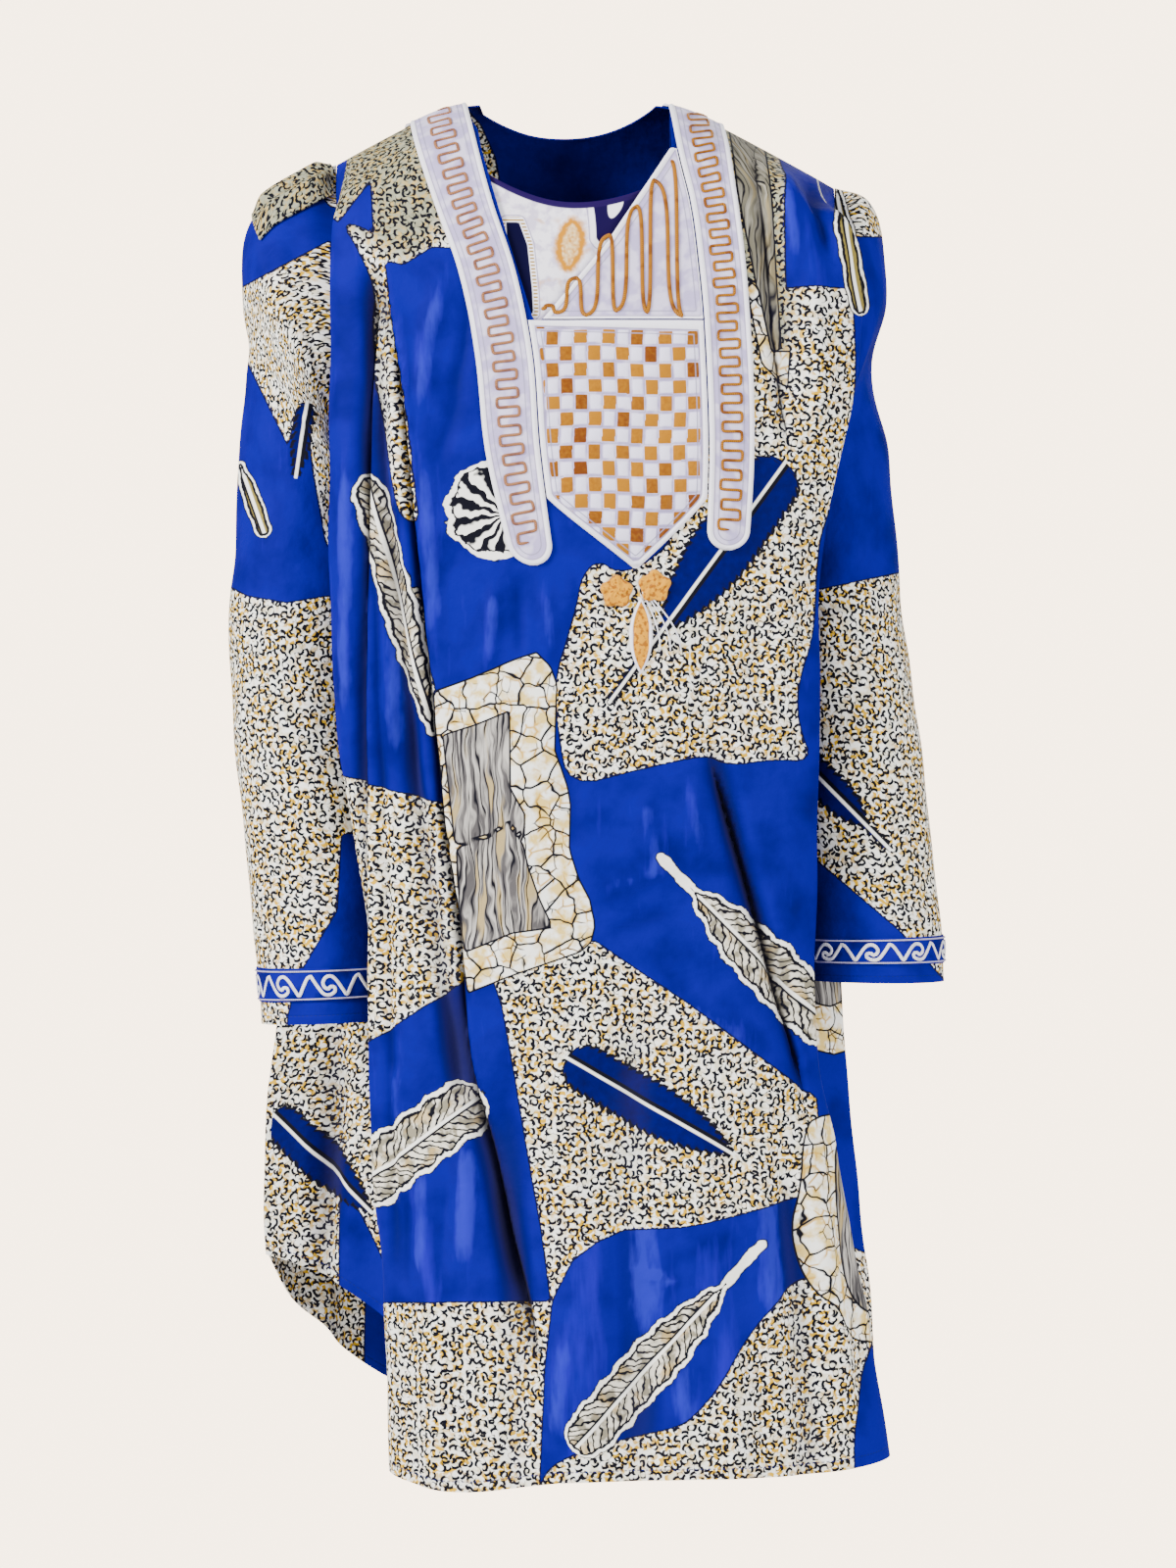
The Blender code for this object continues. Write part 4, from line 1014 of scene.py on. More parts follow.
def make_panel(name, side, s, inside, top_z, rows):
    """A panel as a thin wall on the solid's form, with every crease and its print."""
    s, drop, total = panel_grid(side, s, inside, top_z, rows)
    points, normal, (x, z) = draped(side, s, drop)
    turned = normals_of(lambda a, b: draped(side, a, b)[0], side, s, drop)
    turned = np.where(np.abs(s)[..., None] > SEAM_STRIP, normal, turned)
    if side < 0:
        past = np.maximum(np.abs(s) - WING_AT, 0)
        x = x + np.sign(s) * past * PRINT_BEYOND
        fields = painted(FRONT_PRINT, x, z)
        # fields for painted light: distance from the laps' lips, for painted shade beside them, and the
        # creases' heights, for painted glints
        fields["lap"] = lap_distance(x, z)
        fields["lapped"] = np.clip(1.5 - np.abs(fields["lap"]) / LAP_SHADING, 0, 1)
        fields["ridge"] = creases_at(FRONT_CREASES, x, z) * 1000
    else:
        fields = painted(BACK_PRINT, x, z)
        px, pz = paper(panel(side, s, drop))
        wing = painted(WING_PRINT, px, pz)
        returned = s < -WING_AT
        fields = {key: np.where(returned, wing[key], fields[key]) for key in fields}
    fields["hem"] = np.minimum((total - drop) * 1000, FAR)
    # height over the plain panel, from which the print paints shade in troughs and sheen on crests
    fields["rise"] = ((points - panel(side, s, drop)) * normal).sum(-1) * 1000
    uv = smooth_lengths(side, s, drop)
    piece = wall(name, points + turned * WALL / 2, points - turned * INSIDE, fields, uv)
    return piece, points


# %% Front panel
def spaced(*stretches):
    """Places from (start, end, cells) stretches that follow one another."""
    parts = [np.linspace(a, b, n, endpoint=False) for a, b, n in stretches]
    return np.concatenate([*parts, [stretches[-1][1]]])


v_ends = place(-1, [NECKLINE["right"][0], NECKLINE["left"][1]], [0, FLAP_TOP])[0]
steep_top = place(-1, NECKLINE["left"][0], 0)[0]
across = spaced((-1, -WING_AT, 30), (-WING_AT, v_ends[0], 56), (v_ends[0], v_ends[1], 68))
beyond_flap = max(steep_top, v_ends[1] + 0.002)
across = np.concatenate([across, spaced((beyond_flap, WING_AT, 48), (WING_AT, 1, 28))])
inside = (across > v_ends[0] + 1e-9) & (across < v_ends[1] + 1e-9)
front_piece, front_points = make_panel("front_cloth", -1, across, inside, neckline_height, rows=205)
print("front:", len(front_piece.data.polygons), "faces")

# %% Back panel
neck_end = place(1, NECK_HALF, -0.004)[0]
across = spaced((-1, -WING_AT, 34), (-WING_AT, WING_AT, 140), (WING_AT, 1, 26))
inside = np.abs(across) < neck_end
back_piece, back_points = make_panel("back_cloth", 1, across, inside, back_neck_height, rows=180)
print("back:", len(back_piece.data.polygons), "faces")

# %% [markdown]
# ## Sleeves
#
# A sleeve is a tube of rings, from the armhole's own edge to the cuff. Where the arm bends, cloth
# piles up in short troughs that run part of the way round. The same function serves the solid and
# this finer tube, with smaller troughs added.

# %% Rings of a sleeve
SIGNS = {"right": -1, "left": 1}


def grid_normals(points, wrap):
    """Unit normals of a grid of points (rows, columns, 3)."""
    if wrap:
        along = np.roll(points, -1, axis=1) - np.roll(points, 1, axis=1)
    else:
        along = np.gradient(points, axis=1)
    return unit(np.cross(along, np.gradient(points, axis=0)))


def armhole_heights(right):
    """Heights of points down the armhole: close over the shoulder, then evenly round it."""
    top = shoulder_height(tip(right))
    half = (top - UNDERARM) / 2
    turn = SHOULDER_ROUND * (1 - np.cos(np.linspace(0, math.pi / 2, TURN_STEPS + 1)))
    low = np.linspace(np.arccos(1 - SHOULDER_ROUND / half), math.pi, ARMHOLE_STEPS - TURN_STEPS + 1)[1:]
    return np.concatenate([top - turn, top - half * (1 - np.cos(low))])


def ring_turns(side):
    """Turns of a sleeve's own points: 0 on the outside, then round to the front."""
    z = armhole_heights(side == "right")
    half_way = np.arccos(np.clip(1 - (z[0] - z) / (z[0] - z[-1]) * 2, -1, 1)) / (2 * math.pi)
    return np.concatenate([half_way, 1 - half_way[-2:0:-1]])


def sleeve_rings(side):
    """Rings of a sleeve: the armhole's own edge, then the rows of its table."""
    sign = SIGNS[side]
    z = armhole_heights(side == "right")
    front, back = (panel(k, float(sign), z[0] - z) for k in SECTIONS)
    edge = np.concatenate([front, back[-2:0:-1]])
    edge[[0, ARMHOLE_STEPS], 1] = 0
    edge[:, 0] += sign * (WALL / 2 + TRIM_GAP)
    turn = ring_turns(side) * 2 * math.pi
    rings = [edge]
    for in_x, in_z, out_x, out_z, half, y in np.array(SLEEVES[side]) / 1000:
        x = (in_x + out_x) / 2 + (out_x - in_x) / 2 * np.cos(turn)
        z = (in_z + out_z) / 2 + (out_z - in_z) / 2 * np.cos(turn)
        rings.append(np.stack([sign * x, y - half * np.sin(turn), z], axis=1))
    return np.array(rings)


# %% Troughs round a sleeve
SMALL_TROUGHS = {
    "right": table("at turn half_turn length rise slant", [
        (1.6, 0.2, 0.16, 0.35, -0.002, 2.4), (2.7, 0.16, 0.15, 0.3, 0.0016, 2),
        (4.6, 0.22, 0.16, 0.3, -0.0018, -1.6), (5.1, 0.06, 0.14, 0.28, 0.0018, -1.2),
        (6.4, 0.2, 0.17, 0.32, -0.0026, 1.8), (6.9, 0.3, 0.15, 0.25, 0.002, 1.5),
        (7.6, 0.22, 0.15, 0.25, -0.002, -1.4), (8.8, 0.14, 0.17, 0.3, -0.0022, 1.6),
        (9.8, 0.28, 0.16, 0.25, 0.0018, 1.4), (10.6, 0.18, 0.18, 0.28, -0.002, -1),
        (3.2, 0.7, 0.18, 0.35, -0.0022, 1.6), (6.2, 0.76, 0.18, 0.32, -0.0026, -1.6),
        (8.9, 0.7, 0.17, 0.3, 0.0022, 1.4), (10.2, 0.8, 0.16, 0.3, -0.002, 1.2),
    ], 1),
}
SMALL_TROUGHS["left"] = SMALL_TROUGHS["right"] | {"at": SMALL_TROUGHS["right"]["at"] * 0.93 + 0.3}


def troughs(rows, at, turn):
    """Height of a sleeve's creases at ring `at` and `turn` round: bells that run part way round."""
    total = np.zeros(np.broadcast(at, turn).shape)
    for ring, middle, half_turn, length, rise, slant in zip(*rows.values()):
        away = (turn - middle + 0.5) % 1 - 0.5
        along = (at - ring - slant * away) / length
        total = total + rise * np.exp(-(along**2)) * ease(1 - np.abs(away) / half_turn)
    return total


def sleeve(side, at, turns):
    """Points and outward normals of a sleeve at rings `at` and shares of a turn `turns`."""
    rings = sleeve_rings(side)
    own = ring_turns(side)
    found = np.array([curve(at, np.arange(len(rings)), rings[:, i]) for i in range(len(own))])
    before = own >= 0.5
    knots = np.concatenate([own[before] - 1, own, own[~before] + 1])
    found = curve(turns, knots, np.concatenate([found[before], found, found[~before]]))
    points = found.transpose(1, 0, 2)
    wrap = abs(turns[-1] + turns[1] - 2 * turns[0] - 1) < 1e-6
    normal = grid_normals(points, wrap) * SIGNS[side]
    grid = (at[:, None], turns[None, :])
    height = (troughs(CREASES, *grid) + troughs(SMALL_TROUGHS[side], *grid)) * ease(at[:, None] / 2)
    height = height + crumple(points[..., 0], points[..., 2] + points[..., 1]) * ease(at[:, None])
    return points + normal * height[..., None], normal


# %% Sleeve cloth
RING_PITCH = 45  # millimetres between the last rings of a sleeve


def make_sleeve(side):
    """A sleeve's tube as a thin wall with its print."""
    count = len(SLEEVES[side])
    at = spaced((0, 3, 34), (3, count, 120))
    turns = np.linspace(-0.5, 0.5, 132, endpoint=False)
    points, plain = sleeve(side, at, turns)
    normal = grid_normals(points, True) * SIGNS[side]
    normal[:3] = plain[:3]
    normal[0, :, 0] = 0
    normal = unit(normal)
    x, z = paper(points)
    fields = painted(SLEEVE_PRINTS[side], x, z)
    fields["hem"] = np.broadcast_to((count - at[:, None]) * RING_PITCH, x.shape)
    outer, inner = points + normal * WALL / 2, points - normal * INSIDE
    closed = closed_round(points)
    round_it, down = cloth_lengths(closed)
    piece = wall("sleeve_cloth_" + side, outer, inner, fields, (round_it, down - down[-1]), wrap=True)
    return piece, closed


sleeve_pieces = {side: make_sleeve(side) for side in ("right", "left")}

# %% [markdown]
# ## The embroidered bands
#
# The neck is edged with a broad band of satin stitch on each side, stiff enough to lie in one
# smooth curve over the shoulder. It has a thick white cord along its edge, a lilac ground, and a
# gold cord that meanders down its middle. The band is a grid between its two edges, set on the
# panel and raised along its own normals; its relief depends only on the distance from its edge.

# %% Placing things on a panel
def on_panel(side, x, z, height):
    """Points at (x, z) on a panel, `height` above its middle surface, and the normals there."""
    s, drop = place(side, x, z)
    points, normal, _ = draped(side, s, drop)
    return points + normal * np.asarray(height)[..., None], normal


def bump(v, middle, half):
    """A bell of height 1 about `middle`."""
    return np.exp(-(((v - middle) / half) ** 2))


def satin_height(edge):
    """Thickness of embroidery by distance from its edge, mm to metres: a cord, then a low field."""
    field = 1.25 + 0.85 * bump(edge, 2.0, 1.5) + 0.12 * bump(edge, 7.6, 0.9)
    return 0.001 * quarter_round(edge / 0.9, 0.05) * field


def embroidered(name, side, x, z, edge, gap, fields=None, extra=0.0):
    """A piece of embroidery over a panel, `gap` above its cloth."""
    lift = WALL / 2 + gap
    outer, normal = on_panel(side, x, z, lift + satin_height(edge) + extra)
    inner = outer - normal * (satin_height(edge) + extra)[..., None]
    return wall(name, outer, inner, {"edge": edge} | (fields or {}))


# %% Neck bands
def band_edges(side, z):
    """x of a neck band's inner and outer edges at height z."""
    data = NECK_BANDS[side]
    return curve(z, data["z"], data["inner"]), curve(z, data["z"], data["outer"])


def band_grid(side, rows, columns):
    """x, z and distance from the edge over a neck band; its low end is a half circle."""
    low = NECK_BANDS[side]["z"][-1]
    level = -fall_rows(np.array([-low]), rows)
    share = np.linspace(-1, 1, columns)[None, :]
    z = level + 0 * share
    for _ in range(8):
        inner, outer = band_edges(side, z)
        half = (outer - inner) / 2
        rise = np.maximum(level - low, 0)
        x = (inner + outer) / 2 + half * quarter_round(rise / np.abs(half), 0.015) * share
        z = level + shoulder_height(x) * (1 - level / low)
    across = np.abs(x - (inner + outer) / 2)
    edge = np.abs(half) - np.hypot(across, np.maximum(np.abs(half) - rise, 0))
    return x, z, np.maximum(edge, 0) * 1000


def band_line(side, along, across):
    """x and z of points at metres `along` and `across` a neck band, from its top and middle."""
    z = np.linspace(-0.004, NECK_BANDS[side]["z"][-1], 400)
    x = sum(band_edges(side, z)) / 2
    length = np.concatenate([[0], np.hypot(np.diff(x), np.diff(z)).cumsum()])
    ux, uz = np.gradient(x, length), np.gradient(z, length)
    at = [np.interp(along, length, v) for v in (x, z, ux, uz)]
    return at[0] - at[3] * across, at[1] + at[2] * across, length[-1]


band_pieces = {}
for side in NECK_BANDS:
    x, z, edge = band_grid(side, 150, 37)
    band_pieces[side] = embroidered("neck_band_cloth_" + side, -1, x, z, edge, BAND_GAP)

# %% Back neck band
turn = np.linspace(0, math.pi, 121)[:, None]
share = np.linspace(0, 1, 29)[None, :]
reach = NECK_HALF + SIDE_GAP + (BACK_BAND_REACH - NECK_HALF) * share
x = reach * np.cos(turn)
hang = (NECK_DROP + SIDE_GAP + BACK_BAND_WIDTH * share) * np.sin(turn) ** 2
z = np.minimum(shoulder_height(reach) * np.cos(turn) ** 2 - hang, shoulder_height(x))
edge = np.minimum(share, 1 - share) * (BACK_BAND_REACH - NECK_HALF) * 1000 + 0 * turn
band_pieces["back"] = embroidered("neck_band_cloth_back", 1, x, z, edge, BAND_GAP)

# %% [markdown]
# ## Cords
#
# A cord sewn on cloth is couched: it lies on the surface and small stitches hold it. Each one
# here is a path of points with the cloth's normal at each, and a flat oval carried along it.

# %% A cord along a path
CORD_SIDES = 8


def sewn_cord(name, path, up, width, height, closed=False):
    """An oval of `width` by `height` carried along a path; its ends shrink to round tips."""
    step = np.roll(path, -1, axis=0) - np.roll(path, 1, axis=0) if closed else np.gradient(path, axis=0)
    across = unit(np.cross(step, up))
    up = unit(np.cross(across, step))
    length = np.concatenate([[0], np.linalg.norm(np.diff(path, axis=0), axis=1).cumsum()])
    size = np.ones(len(path))
    if not closed:
        size = quarter_round(np.minimum(length, length[-1] - length) / (width / 2), 0.08)
    turn = np.arange(CORD_SIDES) / CORD_SIDES * 2 * math.pi
    oval = across[:, None] * np.cos(turn)[:, None] * width / 2
    oval = oval + up[:, None] * np.sin(turn)[:, None] * height / 2
    points = path[:, None] + oval * size[:, None, None]
    index = np.arange(len(path) * CORD_SIDES).reshape(len(path), CORD_SIDES)
    if closed:
        index = np.concatenate([index, index[:1]])
    after = np.roll(index, -1, axis=1)
    faces = np.stack([index[:-1], after[:-1], after[1:], index[1:]], -1).reshape(-1, 4).tolist()
    if not closed:
        faces += [index[0, ::-1].tolist(), index[-1].tolist()]
    round_it = np.tile(turn / (2 * math.pi) * width * 2, len(path))
    uv = np.stack([np.repeat(length, CORD_SIDES), round_it], 1)
    return smooth_piece(name, points.reshape(-1, 3), faces, uv[np.concatenate(faces)])


def front_cord(name, x, z, height, size):
    """A cord along (x, z) on the front, `height` above the panel's middle surface."""
    path, up = on_panel(-1, x, z, height)
    return sewn_cord(name, path, up, *size)


def joined(name, pieces):
    """One piece made of several cords."""
    with bpy.context.temp_override(
        active_object=pieces[0], selected_editable_objects=pieces, object=pieces[0]
    ):
        bpy.ops.object.join()
    pieces[0].name = name
    pieces[0].data.name = name
    return pieces[0]


# %% Meanders of the neck bands
MEANDER_PITCH = 0.0124  # on average; a sixth closer at the top, a sixth wider at the low end
MEANDER_REACH = 0.0078  # half its width
CORD_ON_BAND = WALL / 2 + BAND_GAP + 0.00165  # height of a cord's middle over the panel, on a band
CORD_ON_FLAP = WALL / 2 + TRIM_GAP + 0.00175  # the same, on the flap
MEANDER_CORD = (0.0022, 0.0016)  # width and height of each cord
LOOP_CORD = (0.0030, 0.0018)
ARC_CORD = (0.0012, 0.0010)


def meander(name, side, start, end, reach):
    """A square-shouldered wave: across = reach tanh(2.2 sin p) / tanh 2.2; its runs lean outwards."""
    length = band_line(side, 0.0, 0.0)[2]
    waves = round((length - start - end) / MEANDER_PITCH)
    p = np.linspace(0, waves * 2 * math.pi, waves * 26 + 1)
    share = p / p[-1]
    along = start + (length - start - end) * (0.83 * share + 0.17 * share**2)
    along = along - MEANDER_PITCH * 0.10 * np.sin(2 * p)
    uneven = 1 + 0.07 * np.sin(1.7 * p / math.pi) + 0.05 * np.sin(0.61 * p + 1)
    across = reach * uneven * np.tanh(2.2 * np.sin(p)) / math.tanh(2.2)
    x, z, _ = band_line(side, along, across)
    return front_cord(name, x, z, CORD_ON_BAND, MEANDER_CORD)


meanders = {
    "right": meander("neck_meander_right", "right", 0.006, 0.017, MEANDER_REACH),
    "left": meander("neck_meander_left", "left", 0.004, 0.015, MEANDER_REACH * 0.92),
}

# %% Flap of the V, and its gold loops
share = np.linspace(0, 1, 80)[None, :]
z = np.linspace(FLAP_TOP, SHIELD_TOP + 0.001, 96)[:, None]
v_edge = np.interp(-z, -NECKLINE["z"][1:], NECKLINE["left"][1:]) + 0.0004
by_band = band_edges("left", z)[0] - 1.2 * SIDE_GAP
x = v_edge + (by_band - v_edge) * share
z = z + 0 * share
lean = math.hypot(NECKLINE["z"][3] - NECKLINE["z"][1], NECKLINE["left"][3] - NECKLINE["left"][1])
from_v = (x - v_edge) * abs(NECKLINE["z"][3] - NECKLINE["z"][1]) / lean
edge = np.minimum(from_v, (z - SHIELD_TOP) + 0.0012) * 1000
edge = np.minimum(edge, (by_band - x) * 1000 + 3.2)
flap_piece = embroidered("neck_flap_cloth", -1, x, z, edge, TRIM_GAP)

LOOPS = table("x z", [
    (-16, -159.5), (-10, -157), (-4, -162), (9, -137), (16.5, -164), (33.5, -106), (38, -161),
    (53.5, -84.5), (60.5, -162), (65.5, -65), (86, -165), (78.5, -50.5),
])


def serpentine(knots, steps):
    """Up and down strokes between knots; each turns slowly, x running ahead where z stands still."""
    u = np.linspace(0, 1, steps, endpoint=False)
    swing = np.sin(2 * math.pi * u) / (2 * math.pi)
    x, z = knots["x"], knots["z"]
    px = x[:-1, None] + np.diff(x)[:, None] * (u + 0.9 * swing)
    pz = z[:-1, None] + np.diff(z)[:, None] * (u - 0.8 * swing)
    return np.append(px.ravel(), x[-1]), np.append(pz.ravel(), z[-1])


x, z = serpentine(LOOPS, 34)
flap_cord = front_cord("neck_flap_loops", x, z, CORD_ON_FLAP, LOOP_CORD)

# %% [markdown]
# ## The chequered shield
#
# Below the V lies a shield of counted satin blocks, gold and white in turn like a draughts board,
# each block a small pillow. One grid carries them all: the pillow's height is a product of two
# bells, one for each direction of the board.

# %% Shield
BLOCK_WIDTH = 0.0102
BLOCK_HEIGHT = 0.0119
SHIELD_BLUNT = 0.0015  # half width of the shield's blunt point
BOARD_EDGE = 4.2  # millimetres along the shield's edge that carry no blocks
BLOCK_AT = (0.0330, SHIELD_TOP - 0.0125)  # x and z of one gold block's middle
PILLOW = 0.0011  # height of a block over its field
rows = np.linspace(SHIELD_TOP, SHIELD_POINT[1], 170)[:, None]
narrowing = np.clip((SHIELD_CORNERS - rows) / (SHIELD_CORNERS - SHIELD_POINT[1]), 0, 1) ** 1.15
left_end = band_edges("right", rows)[0] + SIDE_GAP
right_end = band_edges("left", rows)[0] - SIDE_GAP
left_end = left_end + (SHIELD_POINT[0] - SHIELD_BLUNT - left_end) * narrowing
right_end = right_end + (SHIELD_POINT[0] + SHIELD_BLUNT - right_end) * narrowing
share = np.linspace(0, 1, 132)[None, :]
x = left_end + (right_end - left_end) * share
z = rows + 0 * share
outline = np.concatenate([np.stack([left_end, rows], -1)[:, 0], np.stack([right_end, rows], -1)[::-1, 0]])
edge = np.maximum(-polygon_distance(x * 1000, z * 1000, outline[::4] * 1000), 0)
board_x = (x - BLOCK_AT[0]) / BLOCK_WIDTH + 0.05 * np.sin(z * 90)
board_z = (BLOCK_AT[1] - z) / BLOCK_HEIGHT + 0.05 * np.sin(x * 70)
cell_x, cell_z = np.round(board_x), np.round(board_z)
gold = (cell_x + cell_z) % 2 == 0
loose = 0.05 * np.sin(cell_x * 5.1 + cell_z * 2.3)
half_x = (np.where(gold, 0.50, 0.44) + loose) * BLOCK_WIDTH * 1000
half_z = (np.where(gold, 0.47, 0.42) - loose) * BLOCK_HEIGHT * 1000
from_x = half_x - np.abs(board_x - cell_x) * BLOCK_WIDTH * 1000
from_z = half_z - np.abs(board_z - cell_z) * BLOCK_HEIGHT * 1000
block = np.minimum(from_x, from_z)
field = ease((edge - BOARD_EDGE) / 0.8)
pillow = np.sqrt(np.clip(from_x / half_x, 0, 1) * np.clip(from_z / half_z, 0, 1))
extra = PILLOW * pillow**0.7 * field
fields = {
    "gold": np.where(gold, block, -3.0) * field - 3 * (1 - field),
    "block": block * field - 3 * (1 - field),
    "tint": (np.sin(cell_x * 12.99 + cell_z * 78.2) * 43.7) % 1,
}
shield_piece = embroidered("bib_shield_cloth", -1, x, z, edge, TRIM_GAP, fields, extra)
print("shield:", len(shield_piece.data.polygons), "faces")

# %% Rosettes and the leaf below the shield
def disc(name, centre, radius, relief, cord=0.0):
    """A round piece on the front: `radius` is a function of the turn, `relief` of share and turn."""
    turn = np.arange(72) / 72 * 2 * math.pi
    share = np.linspace(0, 1, 22)[:, None]
    reach = radius(turn) * share
    x = centre[0] + reach * np.sin(turn)
    z = centre[1] + reach * np.cos(turn)
    edge = radius(turn) * (1 - share) * 1000
    lift = WALL / 2 + TRIM_GAP
    thick = TRIM * quarter_round(edge / 1.2, 0.05) + relief(share, turn)
    outer, normal = on_panel(-1, x, z, lift + thick)
    inner = outer - normal * thick[..., None]
    piece = wall(name, outer, inner, {"edge": edge, "gold": edge - cord}, [x, z], True)
    shape = bmesh.new()
    shape.from_mesh(piece.data)
    bmesh.ops.remove_doubles(shape, verts=shape.verts, dist=1e-6)
    shape.to_mesh(piece.data)
    shape.free()
    return piece


def petals(turn):
    """Radius of a rosette: a circle with five low waves."""
    return ROSETTE_RADIUS * (1 + 0.10 * np.cos(5 * turn))


def whorl(share, turn):
    """Relief of a rosette: a dome with five petals, and a spiral groove round a raised middle."""
    dome = BULGE * (1 - share**2 + 0.4 * np.cos(5 * turn) * share)
    groove = 0.0004 * np.cos(5 * turn + 9 * share) * ease(share / 0.3) * ease((1 - share) / 0.25)
    return dome + groove + 0.0004 * bump(share, 0.0, 0.22)


def leaf_radius(turn):
    """Radius of the leaf, whose half width is w (1 - (z / l)^2): the root of a square equation."""
    long = LEAF_HALF_WIDTH + LEAF_POINTS + 0.006
    bend = LEAF_HALF_WIDTH * (np.cos(turn) / long) ** 2 + 1e-9
    side = np.abs(np.sin(turn))
    return (np.sqrt(side**2 + 4 * bend * LEAF_HALF_WIDTH) - side) / (2 * bend)


def leaf_relief(share, turn):
    """Relief of the leaf: a raised gold field inside a raised white rim."""
    rim = 0.0006 * bump(share, 0.82, 0.10) - 0.0006 * bump(share, 0.62, 0.06)
    return BULGE * (1 - share**2) + rim + 0 * turn


ornaments = {
    "rosette_right": disc("rosette_gold_right", ROSETTE_RIGHT, petals, whorl),
    "rosette_left": disc("rosette_gold_left", ROSETTE_LEFT, petals, whorl),
    "bib_leaf": disc("leaf_stitched", LEAF, leaf_radius, leaf_relief, cord=3.2),
}

# %% Thin white arcs beside the leaf
ARCS = [(0.0590, 0.0655, 0.0120), (0.0600, 0.0700, 0.0150), (0.0570, 0.0610, 0.0090)]
ARCS_TOP = -0.3640
ARCS_FALL = 0.0430  # height of the arcs
arcs = []
for k, (x_top, x_low, bow) in enumerate(ARCS):
    t = np.linspace(0, 1, 40)
    x = x_top + (x_low - x_top) * t + bow * np.sin(math.pi * t * 0.6)
    z = ARCS_TOP - ARCS_FALL * t
    arcs.append(front_cord(f"arc_{k}", x, z, WALL / 2 + 0.0006 + 0.0004 * k, ARC_CORD))
arcs = joined("leaf_arcs", arcs)

# %% [markdown]
# ## The white inset
#
# Behind the V sits a white inset with a small open corner and a narrow stand along the neck. It
# is the front panel's own form moved inwards, so it can never cut through the panel.

# %% Inset
x = np.linspace(INSET_RIGHT, INSET_LEFT, 110)[None, :]
share_across = (x - INSET_RIGHT) / (INSET_LEFT - INSET_RIGHT)
top = INSET_TOP - INSET_SAG * np.sin(math.pi * share_across) ** 0.8
low = np.minimum(neckline_height(x), top) - INSET_LOW_LAP
share = np.linspace(0, 1, 70)[:, None]
z = top + (low - top) * share
x = x + 0 * share
points, normal = on_panel(-1, x, z, -(WALL / 2 + INSET_GAP))
edge = (top - z) * 1000
roll = 0.0006 * bump(edge, 1.6, 1.4)
outer = points + normal * roll[..., None]
inner = points - normal * INSET_THICK
SEEN_ON_INSET = {  # the slit, the corner where the inset ends, the tab beside it, the motif
    "slit": [(-46, -92), (-29, -92), (-22, -157), (-26, -160)],
    "corner": [(20, -55), (21, -72), (24, -88), (25, -112), (52, -82), (70, -56), (110, -30), (20, -30)],
    "tab": [(33, -70), (44, -70), (44, -80), (36, -90), (32, -86)],
    "motif": [(6, -86), (16, -98), (14, -116), (3, -130), (-6, -117), (-4, -100)],
}
px, pz = paper(points)
fields = {"edge": edge} | {
    name: polygon_distance(px * 1000, pz * 1000, rounded(corners, 1 + (name != "slit")))
    for name, corners in SEEN_ON_INSET.items()
}
inset_piece = wall("inset_cloth", outer, inner, fields, [x, z])
inset_points = outer

# %% Gathers on the head of the right sleeve
at = np.linspace(*GATHER_RINGS, 60)
turns = np.linspace(*GATHER_TURNS, 150)
points, normal = sleeve("right", at, turns)
pleat = (turns[None, :] - GATHER_LEAN * at[:, None]) / GATHER_PITCH
middle = ease(np.minimum(at - at[0], at[-1] - at) / 0.5)[:, None]
middle = middle * ease(np.minimum(turns - turns[0], turns[-1] - turns) / 0.05)
lift = GATHER_RISE * (1 + np.cos(2 * math.pi * pleat)) + 0.0005 * np.sin(19 * pleat + at[:, None] * 2)
lift = WALL / 2 + 2 * SEAM + lift * middle
gather_points = points + normal * (lift + WALL)[..., None]
inner = points + normal * (lift + 0.0006)[..., None]
fields = {name: np.full(lift.shape, FAR) for name in ("crackle", "grain", "feather", "hem")}
# the gathers' speckle is turned olive-grey all over
fields |= {"speckle": np.full(lift.shape, -FAR), "dull": 1 + 0 * lift}
# heights of the pleats, from which the print paints shade in their valleys and sheen on their crests
fields["rise"] = -1.5 + 3 * np.cos(2 * math.pi * pleat)
gather_piece = wall("gathered_cloth", gather_points, inner, fields)

# %% Cuffs
# One repeat of the white cord: a hooked scroll, then a zigzag; share of the repeat, and height.
SCROLL = table("along height", [
    (0, -1), (0.13, 0.1), (0.24, 0.86), (0.36, 1), (0.47, 0.66), (0.47, 0.2), (0.39, 0.12), (0.34, 0.34),
    (0.27, 0.16), (0.24, -0.34), (0.31, -0.86), (0.43, -0.92), (0.54, -0.4), (0.64, 0.45), (0.72, 1),
    (0.82, 0.1), (0.92, -0.75), (1, -1),
], 1)
SCROLLS = 9  # repeats round a cuff
SCROLL_WIDTH = 0.0026  # widths of the scroll's cord and of the thin lines, and their height
LINE_WIDTH = 0.0012
CUFF_CORD_HEIGHT = 0.0010
CUFF_CORD_LIFT = 0.0003  # how far a cord's middle lies above the band
SCROLL_REACH = 0.175  # half height of the scroll, in rings
LINE_AT = 0.25  # where the two thin lines lie, in rings from the band's middle
PATH_REACH = 0.26  # half height of the grid on which the cords are laid
PATH_ROW = 0.02  # between its rows
PATH_COLUMNS = 720
cuff_pieces, cuff_points, cuff_cords = {}, {}, {}
